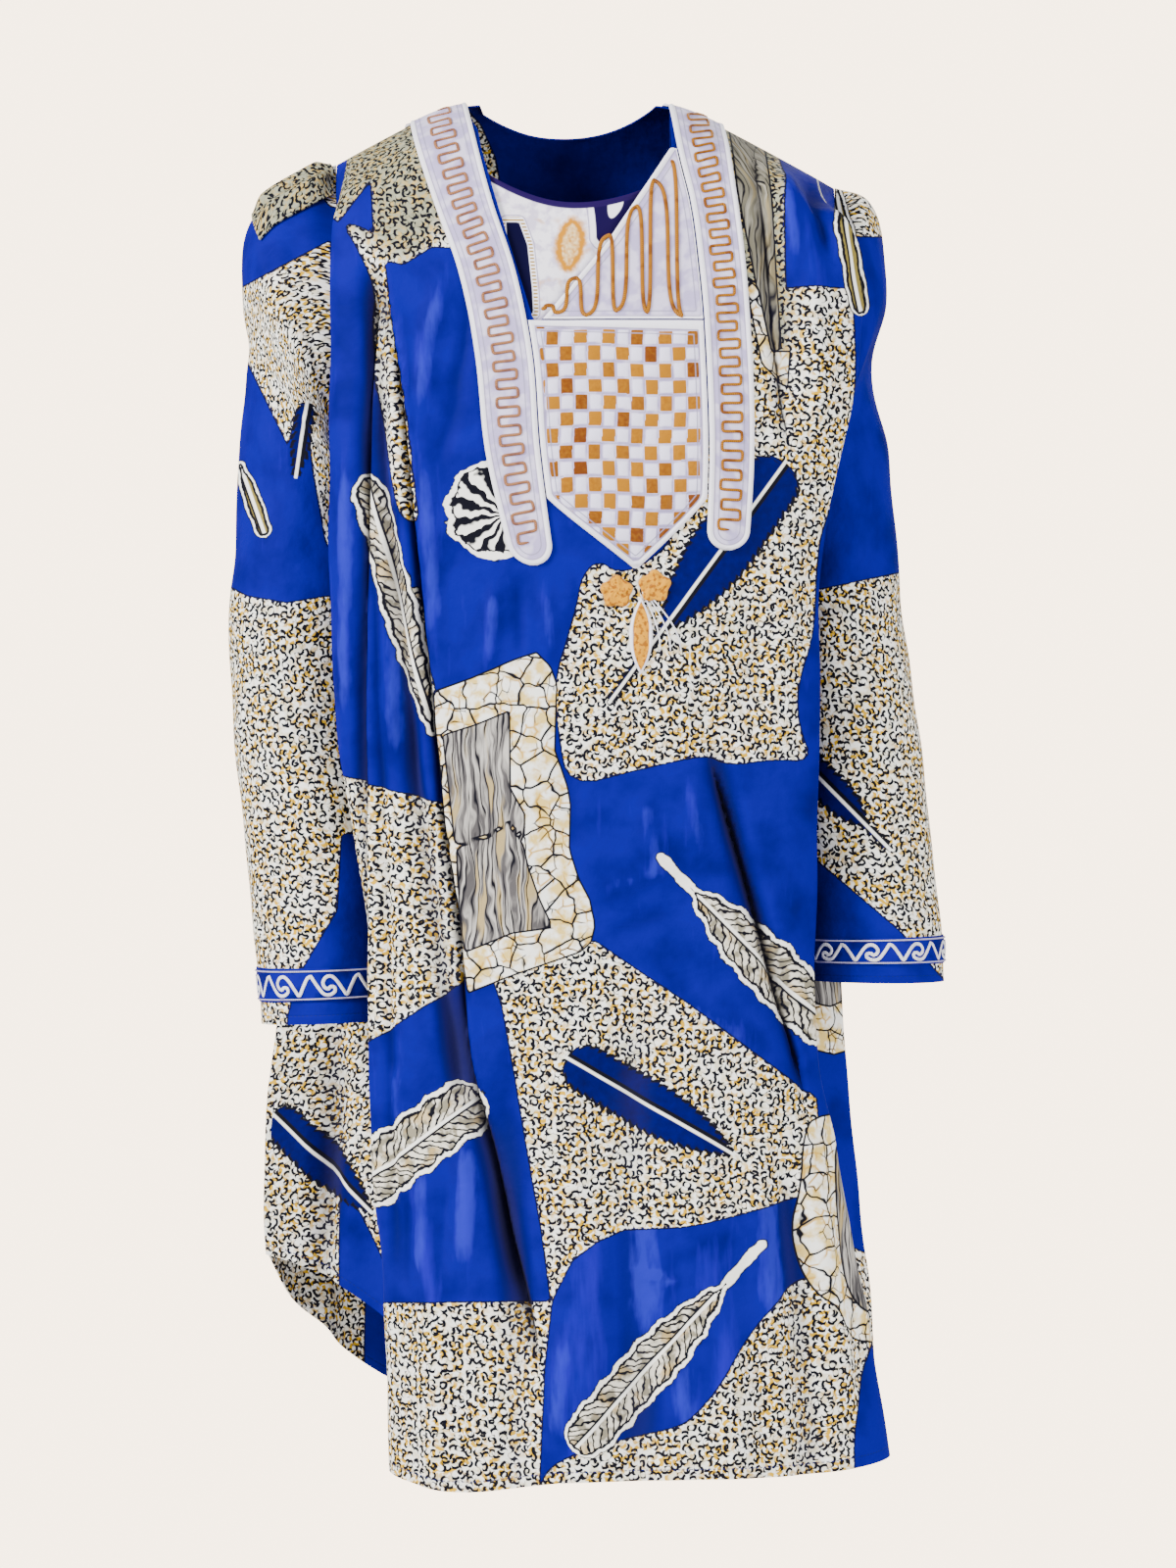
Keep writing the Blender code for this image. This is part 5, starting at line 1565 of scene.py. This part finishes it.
for side in SLEEVES:
    count = len(SLEEVES[side])
    at = np.linspace(count - CUFF_RINGS[0], count - CUFF_RINGS[-1], 14)
    turns = np.linspace(0, 1, 180, endpoint=False)
    points, normal = sleeve(side, at, turns)
    lift = WALL / 2 + SEAM
    thick = (BAND * np.sqrt(np.sin(np.linspace(0.25, math.pi - 0.25, len(at)))))[:, None, None]
    closed = closed_round(points)
    name = "cuff_cloth_" + side
    outer = points + normal * (lift + thick)
    cuff_pieces[side] = wall(name, outer, points + normal * lift, {}, cloth_lengths(closed), True)
    cuff_points[side] = closed
    u = np.linspace(0, 1, 110, endpoint=False)
    knots = np.linspace(0, 1, len(SCROLL["along"]))
    along, height = (curve(u, knots, SCROLL[column]) for column in ("along", "height"))
    scroll_turn = (np.arange(SCROLLS)[:, None] + along).ravel() / SCROLLS
    even = np.linspace(0, 1, 400, endpoint=False)
    lines = {
        "scroll": (scroll_turn, SCROLL_REACH * np.tile(height, SCROLLS), SCROLL_WIDTH),
        "upper_line": (even, -LINE_AT + 0 * even, LINE_WIDTH),
        "lower_line": (even, LINE_AT + 0 * even, LINE_WIDTH),
    }
    rings = count - CUFF_RINGS[1] + np.linspace(-PATH_REACH, PATH_REACH, 27)
    band, up = sleeve(side, rings, np.linspace(0, 1, PATH_COLUMNS, endpoint=False))
    cords = []
    for line, (turn, shift, width) in lines.items():
        row, column = (shift + PATH_REACH) / PATH_ROW, turn * PATH_COLUMNS
        i = np.clip(np.round(row - 0.5).astype(int), 0, 25)
        k = column.astype(int) % PATH_COLUMNS
        down, beyond = (row - i)[:, None], (column % 1)[:, None]
        path = band[i, k]
        after = band[i, (k + 1) % PATH_COLUMNS]
        path = path + (band[i + 1, k] - path) * down + (after - path) * beyond
        out = unit(up[i, k])
        path = path + out * (lift + BAND + CUFF_CORD_LIFT)
        name = f"cuff_{line}_{side}"
        cords.append(sewn_cord(name, path, out, width, CUFF_CORD_HEIGHT, closed=True))
    cuff_cords[side] = cords

# %% [markdown]
# ## Materials: arithmetic on numbers
#
# A shader's Math nodes are hard to read as a drawing but easy as arithmetic. `Number` stands for
# one value that the shader works out at each point, and takes the usual signs. `Finish` is a
# material in the making: its colour starts plain, and each call of `over` lays another colour on
# it where a mask is 1.

# %% Numbers in a shader
def math_node(kind):
    """A method that puts a number, and what is given with it, through a Math node of this kind."""

    def method(self, *others):
        return self.math(kind, self, *others)

    return method


class Number:
    """A number worked out by shader nodes."""

    def __init__(self, tree, socket):
        self.tree = tree
        self.socket = socket

    def math(self, kind, *inputs, clamp=False):
        """The result of a Math node."""
        node = add_node(self.tree, "Math", *inputs, operation=kind, use_clamp=clamp)
        return Number(self.tree, node.outputs[0])

    __add__ = __radd__ = math_node("ADD")
    __sub__ = math_node("SUBTRACT")
    __mul__ = __rmul__ = math_node("MULTIPLY")
    __abs__ = math_node("ABSOLUTE")
    most = math_node("MAXIMUM")
    least = math_node("MINIMUM")
    sine = math_node("SINE")
    cosine = math_node("COSINE")
    root = math_node("SQRT")
    part = math_node("FRACT")  # what is left above the whole number below it

    def __neg__(self):
        return self * -1.0

    def ramp(self, gain, shift):
        """gain times the number, plus shift, kept within 0 and 1."""
        return self.math("MULTIPLY_ADD", self, gain, shift, clamp=True)

    def below(self, edge=0.0, soft=0.35):
        """1 where the number is less than `edge`, 0 where it is more, over `soft` on each side."""
        return self.ramp(-0.5 / soft, 0.5 + edge * 0.5 / soft)

    def near(self, middle, half, soft=0.3):
        """1 within `half` of `middle`."""
        return abs(self - middle).below(half, soft)


# %% A material in the making
class Finish:
    """A Principled material whose colour and relief are built up in layers."""

    def __init__(self, name, colour, **settings):
        self.material = bpy.data.materials.new(name)
        self.material.use_nodes = True
        self.tree = self.material.node_tree
        self.shader = self.tree.nodes["Principled BSDF"]
        for socket, value in settings.items():
            self.shader.inputs[socket.replace("_", " ")].default_value = value
        self.colour = colour
        uv = self.node("UVMap", uv_map="cloth").outputs[0]
        self.place = self.node("VectorMath", uv, operation="SCALE", Scale=1000).outputs[0]
        self.u, self.v, _ = self.parts(self.place)

    def node(self, kind, *inputs, **settings):
        """A new node of this material."""
        return add_node(self.tree, kind, *inputs, **settings)

    def parts(self, vector):
        """The three numbers of a vector."""
        return [Number(self.tree, out) for out in self.node("SeparateXYZ", vector).outputs]

    def vector(self, x, y):
        """A vector in the cloth's plane."""
        return self.node("CombineXYZ", x, y).outputs[0]

    def field(self, name):
        """A number stored with the mesh."""
        return Number(self.tree, self.node("Attribute", attribute_name=name).outputs["Fac"])

    def fields(self, names):
        """Several such numbers, by their names in one line."""
        return [self.field(name) for name in names.split()]

    def noise(self, place, size, detail=2.0, roughness=0.5):
        """Noise at `place` with clouds of about `size` millimetres, 0 to 1."""
        settings = {"Scale": 1 / size, "Detail": detail, "Roughness": roughness}
        node = self.node("TexNoise", place, noise_dimensions="2D", **settings)
        return Number(self.tree, node.outputs["Fac"])

    def clouds(self, size, detail=2.0):
        """The same noise, lying on the cloth itself."""
        return self.noise(self.place, size, detail)

    def blots(self, size, detail, share, soft=0.35):
        """Mask of soft-edged blots: 1 where those clouds are below `share`."""
        return self.clouds(size, detail).below(share, soft)

    def weave(self, threads):
        """Relief of a plain weave: the product of two sines, `threads` radians for a millimetre."""
        return ((self.u * threads).sine() * (self.v * threads).sine()) * 0.02

    def cells(self, place, size, feature="F1"):
        """A node of scattered cells about `size` millimetres wide."""
        settings = {"voronoi_dimensions": "2D", "feature": feature, "Randomness": 0.8}
        return self.node("TexVoronoi", place, Scale=1 / size, **settings)

    def mixed(self, under, top, mask):
        """One colour over another."""
        node = self.node("Mix", mask, data_type="RGBA")
        fill(self.tree, node.inputs[6], under)
        fill(self.tree, node.inputs[7], top)
        return node.outputs[2]

    def over(self, colour, mask):
        """Lays a colour over the material's own where the mask is 1."""
        self.colour = self.mixed(self.colour, colour, mask)

    def done(self, height):
        """Links the colour, and a relief in millimetres, and hands back the material."""
        fill(self.tree, self.shader.inputs["Base Color"], self.colour)
        relief = self.node("Bump", Distance=0.001, Strength=1.0, Height=height)
        fill(self.tree, self.shader.inputs["Normal"], relief.outputs[0])
        return self.material


# %% [markdown]
# ## The printed cotton
#
# The cloth is mercerised cotton, beaten until it is smooth. Its speckle is made of short bent
# ticks: scattered cells each hold one, turned by a random angle, and a tick is the part of a
# circle's line within a short reach. Cracked stone is the edges between larger cells, washed with
# ochre. Feathers are drawn from the two straight coordinates that every point carries, `vane` and
# `across`. Light is painted into the colour as well: pale streaks of painted sheen, stronger where
# the cloth stands proud, painted glints along the creases' ridges, and painted shade in the
# troughs and in the depth of a lap. Some speckle and grain is turned olive-grey: a muted tone of the
# print, and painted shade in the valley beside the left neck band and the strip under the right lap.

# %% Colours of the print
ROYAL_BLUE = (0.0022, 0.0, 0.195)
DARK_BLUE = (0.001, 0.0, 0.105)
# the next two colours are painted highlights: sheen in streaks, and glints on crease ridges
SHEEN_BLUE = (0.010, 0.004, 0.30)
GLINT_BLUE = (0.022, 0.026, 0.42)
NAVY = (0.001, 0.0, 0.050)
INK = (0.004, 0.004, 0.008)
CREAM = (0.93, 0.91, 0.83)
OCHRE = (0.60, 0.34, 0.012)
DUSTY_CREAM = (0.74, 0.68, 0.50)
# olive-grey for patches of muted print, and for painted shade on the print
OLIVE_SHADE_DARK = (0.15, 0.145, 0.085)
OLIVE_SHADE_LIGHT = (0.42, 0.42, 0.30)
# colours of painted shade beside the laps' lips and in the troughs of the folds
LAP_SHADE = (0.0, 0.0, 0.010)
LAP_SHADOW_LINE = (0.0, 0.0, 0.004)
FOLD_SHADE = (0.02, 0.018, 0.035)
STITCH_BLUE = (0.01, 0.012, 0.10)
HEM_STITCH = 7.5  # millimetres from the hem's edge to its row of stitches


# %% Ticks
def ticks(finish, size, shift, radius, half, stroke):
    """Mask of bent ticks: one a cell, on a circle of `radius`, `half` long on each side."""
    moved = finish.vector(finish.u + shift, finish.v + shift * 1.7)
    cell = finish.cells(moved, size)
    px, py, _ = finish.parts(moved)
    cx, cy, _ = finish.parts(cell.outputs["Position"])
    lx, ly = px - cx, py - cy
    chance = finish.node("SeparateColor", cell.outputs["Color"])
    angle = Number(finish.tree, chance.outputs[0]) * (2 * math.pi)
    turned_x = lx * angle.cosine() + ly * angle.sine()
    turned_y = ly * angle.cosine() - lx * angle.sine() + radius
    reach = turned_x * turned_x + turned_y * turned_y
    ring = abs(reach.root() - radius)
    return (ring - stroke / 2).most(abs(turned_x) - half).below(0.0, 0.22)


# %% Feathers
def feathers(f):
    """Lays the feathers over a print.

    A vane is as wide as a sine that rises over its first half, then narrows a little; a fan is a
    circle. The distance to its outline is the largest of what lies beside and past its ends.
    """
    vane, across, half, reach, stalk = f.fields("vane across half reach stalk")
    fan = reach.below(0.0, 0.5)
    share = vane.ramp(1.0, 0.0)
    swell = ((share * (math.pi / 1.1)).least(math.pi / 2)).sine()
    swell = swell.math("POWER", swell, 0.7) * (share * -0.14 + 1)
    to_end = share.ramp(-8.5, 8.5)
    swell = swell * (to_end * (to_end * -1 + 2)).root()
    disc = share * 2 - 1
    disc = (disc * disc * -1 + 1).most(0.0).root()
    swell = swell + (disc - swell) * fan
    beside, width, reach = abs(across), abs(half), abs(reach)
    along = vane * reach
    blade = (beside - width * swell).most(along - reach).most(-along)
    low = (-(along + stalk) + 3.2).most(0.0)
    stem = ((beside * beside + low * low).root() - 3.6).most(along - 16)
    lobes = (along * 0.30 + across * 0.05).sine() * 0.9 + f.clouds(5, 2) * 3.2 - 1.6
    lobes = lobes * (width * 0.05)
    edge = blade.least(stem)
    near = f.field("feather").below(9.0)
    pale, navy = (-half).below(0.0, 0.1) * near, half.below(0.0, 0.1) * near

    ragged = edge + (along * (1 / 6.5)).part() * 2.8 + f.clouds(4, 2) * 3.0 - 1.2
    f.over(INK, ragged.below(1.8) * navy)
    f.over(f.mixed(NAVY, DARK_BLUE, f.clouds(6, 3)), ragged.below(-0.6, 0.7) * navy)
    f.over(INK, (across - 1.6).near(0.0, 2.6) * ragged.below(0.5) * navy)
    f.over(CREAM, beside.below(1.15) * edge.below(1.5) * navy)

    barbs = (along * (1 / 7.0) - beside * 0.15 + f.clouds(11, 2) * 1.8).part()
    bars = across.math("ARCTAN2", along - width * 0.9, across - width * 0.2) * (15 / (2 * math.pi))
    bars = (bars + f.clouds(8, 1) * 0.8).part().below(0.52, 0.06)
    fill = f.mixed((0.72, 0.67, 0.55), (0.24, 0.215, 0.15), f.blots(9, 3, 0.48, 0.07))
    fill = f.mixed(fill, (0.50, 0.34, 0.12), f.blots(17, 2, 0.38, 0.05) * 0.7)
    fill = f.mixed(fill, INK, barbs.near(0.5, 0.15, 0.06))
    fill = f.mixed(fill, f.mixed(CREAM, INK, bars), fan)
    fill = f.mixed(fill, (0.22, 0.17, 0.04), width.below(9.0, 0.5))
    fill = f.mixed(fill, INK, (across - 2.0).near(0.0, 0.8) * (fan * -1 + 1))
    fill = f.mixed(fill, CREAM, beside.below(1.2) * (fan * -1 + 1))
    waved = edge + lobes * (share.below(0.0, 0.05) * -1 + 1)
    within = waved + width * 0.11 + 1.1 + f.clouds(4, 1) * 0.8
    f.over(INK, waved.near(0.3, 0.6) * pale)
    f.over(CREAM, waved.below() * pale)
    f.over(fill, within.below() * pale)
    f.over(INK, within.near(0.0, 0.95) * blade.below(0.0) * pale)


# %% Print
def printed_cotton():
    """The robe's cloth: blue, with speckle, cracked stone, grain and feathers laid over it."""
    f = Finish("printed_cotton", ROYAL_BLUE, Roughness=0.68, Specular_IOR_Level=0.05)
    speckle, crackle, grain = f.fields("speckle crackle grain")
    hem, lap, rise, dull = f.fields("hem lap rise dull")
    cloudy = f.clouds(40, 3)
    f.over(DARK_BLUE, cloudy.ramp(2.6, -1.05))
    # painted shade: darker blue where the cloth lies below its plain form, in troughs and laps
    f.over(DARK_BLUE, rise.ramp(-0.22, -0.10))
    # painted sheen: pale streaks down the blue cloth, stronger where it stands proud
    painted_sheen = f.noise(f.vector(f.u, f.v * 0.16), 9, 3) * 0.9 + rise * 0.05
    f.over(SHEEN_BLUE, painted_sheen.ramp(2.4, -1.45))
    ridge = f.field("ridge") + f.noise(f.vector(f.u, f.v * 0.22), 6, 3) * 2.6 - 1.3
    f.over(GLINT_BLUE, ridge.ramp(0.8, -1.3) * 0.55)

    ragged = f.clouds(2.2, 1) * 1.6 - 0.8
    mottle = f.clouds(20, 2)
    ochre = ticks(f, 5.8, 31.0, 4.0, 2.6, 2.6)
    ochre = ochre * mottle.ramp(5.0, -1.7)
    ground = f.mixed(CREAM, DUSTY_CREAM, f.blots(7, 2, 0.42, 0.10))
    # speckle turned olive-grey: a muted print tone on the shoulders and gathers, and painted shade in the
    # valley by the left neck band and the strip under the right lap
    ground = f.mixed(ground, f.mixed(OLIVE_SHADE_DARK, OLIVE_SHADE_LIGHT, f.clouds(6, 2)), dull)
    ground = f.mixed(ground, OCHRE, ochre * (dull * -0.5 + 1))
    ground = f.mixed(ground, INK, ticks(f, 6.0, 0.0, 3.4, 2.6, 2.05))
    ground = f.mixed(ground, INK, ticks(f, 8.4, 13.0, 2.7, 2.0, 1.7))
    f.over(INK, (speckle + ragged * 0.5).near(0.6, 0.55))
    f.over(ground, (speckle + ragged).below())

    wander = f.clouds(22, 2)
    bent = f.vector(f.u + wander * 13, f.v - wander * 11)
    cracks, twigs = (
        Number(f.tree, f.cells(bent, size, "DISTANCE_TO_EDGE").outputs["Distance"]) * size
        for size in (19, 9)
    )
    stone = f.mixed(CREAM, (0.72, 0.52, 0.16), f.blots(12, 3, 0.47, 0.10))
    stone = f.mixed(stone, (0.56, 0.32, 0.05), twigs.below(0.7, 0.6) * f.blots(15, 1, 0.48, 0.05))
    stone = f.mixed(stone, INK, twigs.below(0.40, 0.30) * f.blots(19, 1, 0.41, 0.04))
    stone = f.mixed(stone, INK, cracks.below(0.80, 0.35))
    f.over(stone, crackle.below())
    f.over(INK, crackle.near(0.0, 0.7))

    flow = f.u + f.noise(f.vector(f.u, f.v * 0.35), 16, 2) * 14
    streaks = f.noise(f.vector(flow, f.v * 0.07), 3.2, 3, 0.6)
    wood = f.mixed((0.085, 0.078, 0.078), (0.46, 0.43, 0.39), streaks.ramp(4.6, -1.9))
    wood = f.mixed(wood, (0.40, 0.30, 0.14), f.noise(f.vector(flow, f.v * 0.12), 7, 1).below(0.36, 0.05))
    # grain turned olive-grey in the same places, the same mix of muted print and painted shade
    wood = f.mixed(wood, (0.17, 0.155, 0.095), dull * 0.62)
    lines = (flow * (1 / 4.2)).part().near(0.5, 0.13, 0.08)
    wood = f.mixed(wood, INK, lines * f.noise(f.vector(flow, f.v * 0.2), 9, 2).below(0.58, 0.06))
    f.over(wood, grain.below())
    f.over(INK, grain.near(0.0, 0.7))
    feathers(f)

    lapped = f.field("lapped")  # 0 away from the laps, and on pieces that have none
    # painted shade in the dip beside each lap's lip, and a painted shadow line right under the lip
    f.over(LAP_SHADE, lap.near(-4.5, 3.0, 3.0) * lapped * 0.42)
    f.over(LAP_SHADOW_LINE, lap.near(-0.9, 1.2, 0.8) * lapped * 0.92)
    f.over(FOLD_SHADE, rise.ramp(-0.07, -0.16) * 0.7)
    f.over(STITCH_BLUE, hem.near(HEM_STITCH, 0.35) * (f.u * (1 / 3.2)).part().below(0.62, 0.06))
    slub = f.clouds(6, 3) * 0.35 + f.clouds(26, 2) * 1.1
    return f.done(f.weave(7) + slub - hem.near(HEM_STITCH, 0.6, 0.6) * 0.25)


print_material = printed_cotton()

# %% [markdown]
# ## Thread and satin
#
# Satin stitch is parallel thread: fine ridges that catch the light together. The same material
# serves every embroidered piece, because the piece carries the distance from its edge and, on the
# shield, the places of the gold blocks.

# %% Embroidery
SATIN_WHITE = (0.90, 0.87, 0.94)
LILAC = (0.43, 0.37, 0.60)
GOLD = (0.36, 0.14, 0.002)
RUST = (0.15, 0.036, 0.002)


def satin(name, ground):
    """Satin-stitched ground with a white cord along its edge, and gold and white blocks."""
    f = Finish(name, ground, Roughness=0.45, Specular_IOR_Level=0.15)
    edge, gold, block, tint = f.fields("edge gold block tint")
    f.over((0.64, 0.58, 0.76), f.blots(14, 2, 0.47, 0.08))
    f.over((0.30, 0.26, 0.42), block.near(-0.9, 0.5, 0.4))
    f.over((0.76, 0.72, 0.90), (-block).below(-0.5, 0.3))
    thread = (tint + f.clouds(3, 1) * 0.5) * 0.9
    f.over(f.mixed(GOLD, RUST, thread.ramp(1.6, -0.75)), (-gold).below(-0.3, 0.25))
    for at, shade in ((7.7, (0.27, 0.25, 0.36)), (4.2, (0.30, 0.26, 0.38))):
        f.over(shade, edge.near(at, 0.35))
    f.over(SATIN_WHITE, edge.below(3.7, 0.3))
    stitches = (f.v * 8.5 + f.clouds(4, 1) * 3).sine() * 0.05
    return f.done(stitches + f.clouds(2.5, 2) * 0.12)


def thread(name, colour, shade):
    """Twisted thread: slanting strands along a cord."""
    f = Finish(name, colour, Roughness=0.42, Specular_IOR_Level=0.14)
    strand = (f.u * 4.2 + f.v * 2.5).sine()
    # painted shade in the grooves between the slanting strands; the blots after it are an uneven tone of
    # the thread
    f.over(shade, strand.below(-0.45, 0.3))
    f.over(shade, f.blots(11, 2, 0.42, 0.06))
    return f.done(strand * 0.12)


band_satin = satin("band_satin", LILAC)
gold_thread = thread("gold_thread", (0.36, 0.14, 0.004), (0.17, 0.05, 0.002))
rose_gold_thread = thread("rose_gold_thread", (0.34, 0.15, 0.06), (0.18, 0.07, 0.04))
white_thread = thread("white_thread", (0.84, 0.83, 0.86), (0.60, 0.58, 0.66))
lilac_thread = thread("lilac_thread", (0.46, 0.42, 0.62), (0.30, 0.27, 0.45))


def gold_satin():
    """Gold satin stitch of the rosettes and the leaf, with a white rim where there is one."""
    f = Finish("gold_satin", (0.68, 0.29, 0.005), Roughness=0.42, Specular_IOR_Level=0.14)
    gold = f.field("gold")
    f.over((0.34, 0.11, 0.002), f.blots(3.2, 2, 0.43, 0.06))
    f.over(SATIN_WHITE, gold.below())
    f.over((0.35, 0.12, 0.02), gold.near(0.0, 0.3) * gold.below(0.3))
    return f.done((f.u * 7 + f.v * 4).sine() * 0.07 + f.clouds(2, 2) * 0.2)


def inset_cotton():
    """White cotton of the inset, bound in dark purple, with a slit and a gold motif."""
    f = Finish("inset_cotton", (0.84, 0.80, 0.87), Roughness=0.6, Specular_IOR_Level=0.06)
    edge, slit, corner, tab, motif = f.fields("edge slit corner tab motif")
    f.over((0.58, 0.52, 0.66), f.blots(9, 3, 0.46, 0.08))
    f.over((0.62, 0.42, 0.34), f.blots(15, 2, 0.38, 0.05) * (-edge).below(-14, 3))
    worked = motif + f.clouds(4, 2) * 4 - 2
    f.over((0.60, 0.34, 0.16), worked.below(2.0, 1.5))
    f.over((0.48, 0.19, 0.006), worked.below(0.2, 0.8))
    f.over((0.80, 0.62, 0.34), worked.below(-3.6, 0.8) * f.blots(3, 1, 0.5))
    for distance in (slit, corner):
        f.over((0.30, 0.26, 0.40), distance.near(5.6, 0.4))
        f.over(SATIN_WHITE, distance.below(4.6, 0.5))
    dotted = (f.v * (1 / 2.6)).part().below(0.5, 0.1)
    f.over((0.33, 0.20, 0.04), slit.near(2.9, 1.6) * dotted)
    f.over((0.001, 0.0, 0.018), slit.below(0.6))
    # the open corner is painted near-black purple: the dark inner collar behind it, with its shade painted
    # in
    f.over((0.006, 0.001, 0.036), corner.below(0.6))
    f.over(SATIN_WHITE, tab.below())
    f.over((0.012, 0.003, 0.052), edge.below(4.6, 0.4))
    return f.done(f.weave(6) + f.clouds(12, 2) * 0.4)


def cuff_cotton():
    """Plain blue cotton of the cuffs."""
    f = Finish("cuff_cotton", ROYAL_BLUE, Roughness=0.55, Specular_IOR_Level=0.06)
    f.over(DARK_BLUE, f.blots(18, 3, 0.46, 0.08))
    return f.done(f.weave(7) + f.clouds(8, 2) * 0.25)


ornament_satin = gold_satin()
inset_material = inset_cotton()
cuff_material = cuff_cotton()

# %% [markdown]
# ## Riding and replacing
#
# Every piece is given the body it rides on and the finish it takes, and the solids that it
# stands for are hidden.

# %% Pieces
finish(front_piece, "print_cloth", print_material, "front_panel")
finish(back_piece, "print_cloth", print_material, "back_panel")
finish(gather_piece, "print_cloth", print_material, "shoulder_gather")
finish(inset_piece, "inset_cloth", inset_material, "neck_inset")
for side, (piece, _) in sleeve_pieces.items():
    finish(piece, "sleeve_cloth", print_material, "sleeve_" + side)
    finish(cuff_pieces[side], "cuff_cloth", cuff_material, "cuff_band_" + side)
    for cord, material in zip(cuff_cords[side], (white_thread, lilac_thread, lilac_thread)):
        finish(cord, "embroidery_ground", material)
for side, piece in band_pieces.items():
    finish(piece, "embroidery_ground", band_satin, "neck_band_" + side)
finish(meanders["right"], "gold_thread", rose_gold_thread)
finish(meanders["left"], "gold_thread", gold_thread)
finish(flap_piece, "embroidery_ground", band_satin, "neck_flap")
finish(flap_cord, "gold_thread", gold_thread)
finish(shield_piece, "embroidery_ground", band_satin, "bib_shield")
for node, piece in ornaments.items():
    finish(piece, "gold_thread", ornament_satin, node)
finish(arcs, "embroidery_ground", white_thread)

# %% Sheets
declare_cloth(front_piece, front_points, "draped", rows=slice(90, None))
declare_cloth(back_piece, back_points, "draped", rows=slice(60, None))
for side, (piece, points) in sleeve_pieces.items():
    declare_cloth(piece, points, "draped")
    declare_cloth(cuff_pieces[side], cuff_points[side], "draped", ["sleeve_cloth_" + side])
declare_cloth(gather_piece, gather_points, "gathered", ["sleeve_cloth_right"])
declare_cloth(inset_piece, inset_points, "draped", rows=slice(0, 1))
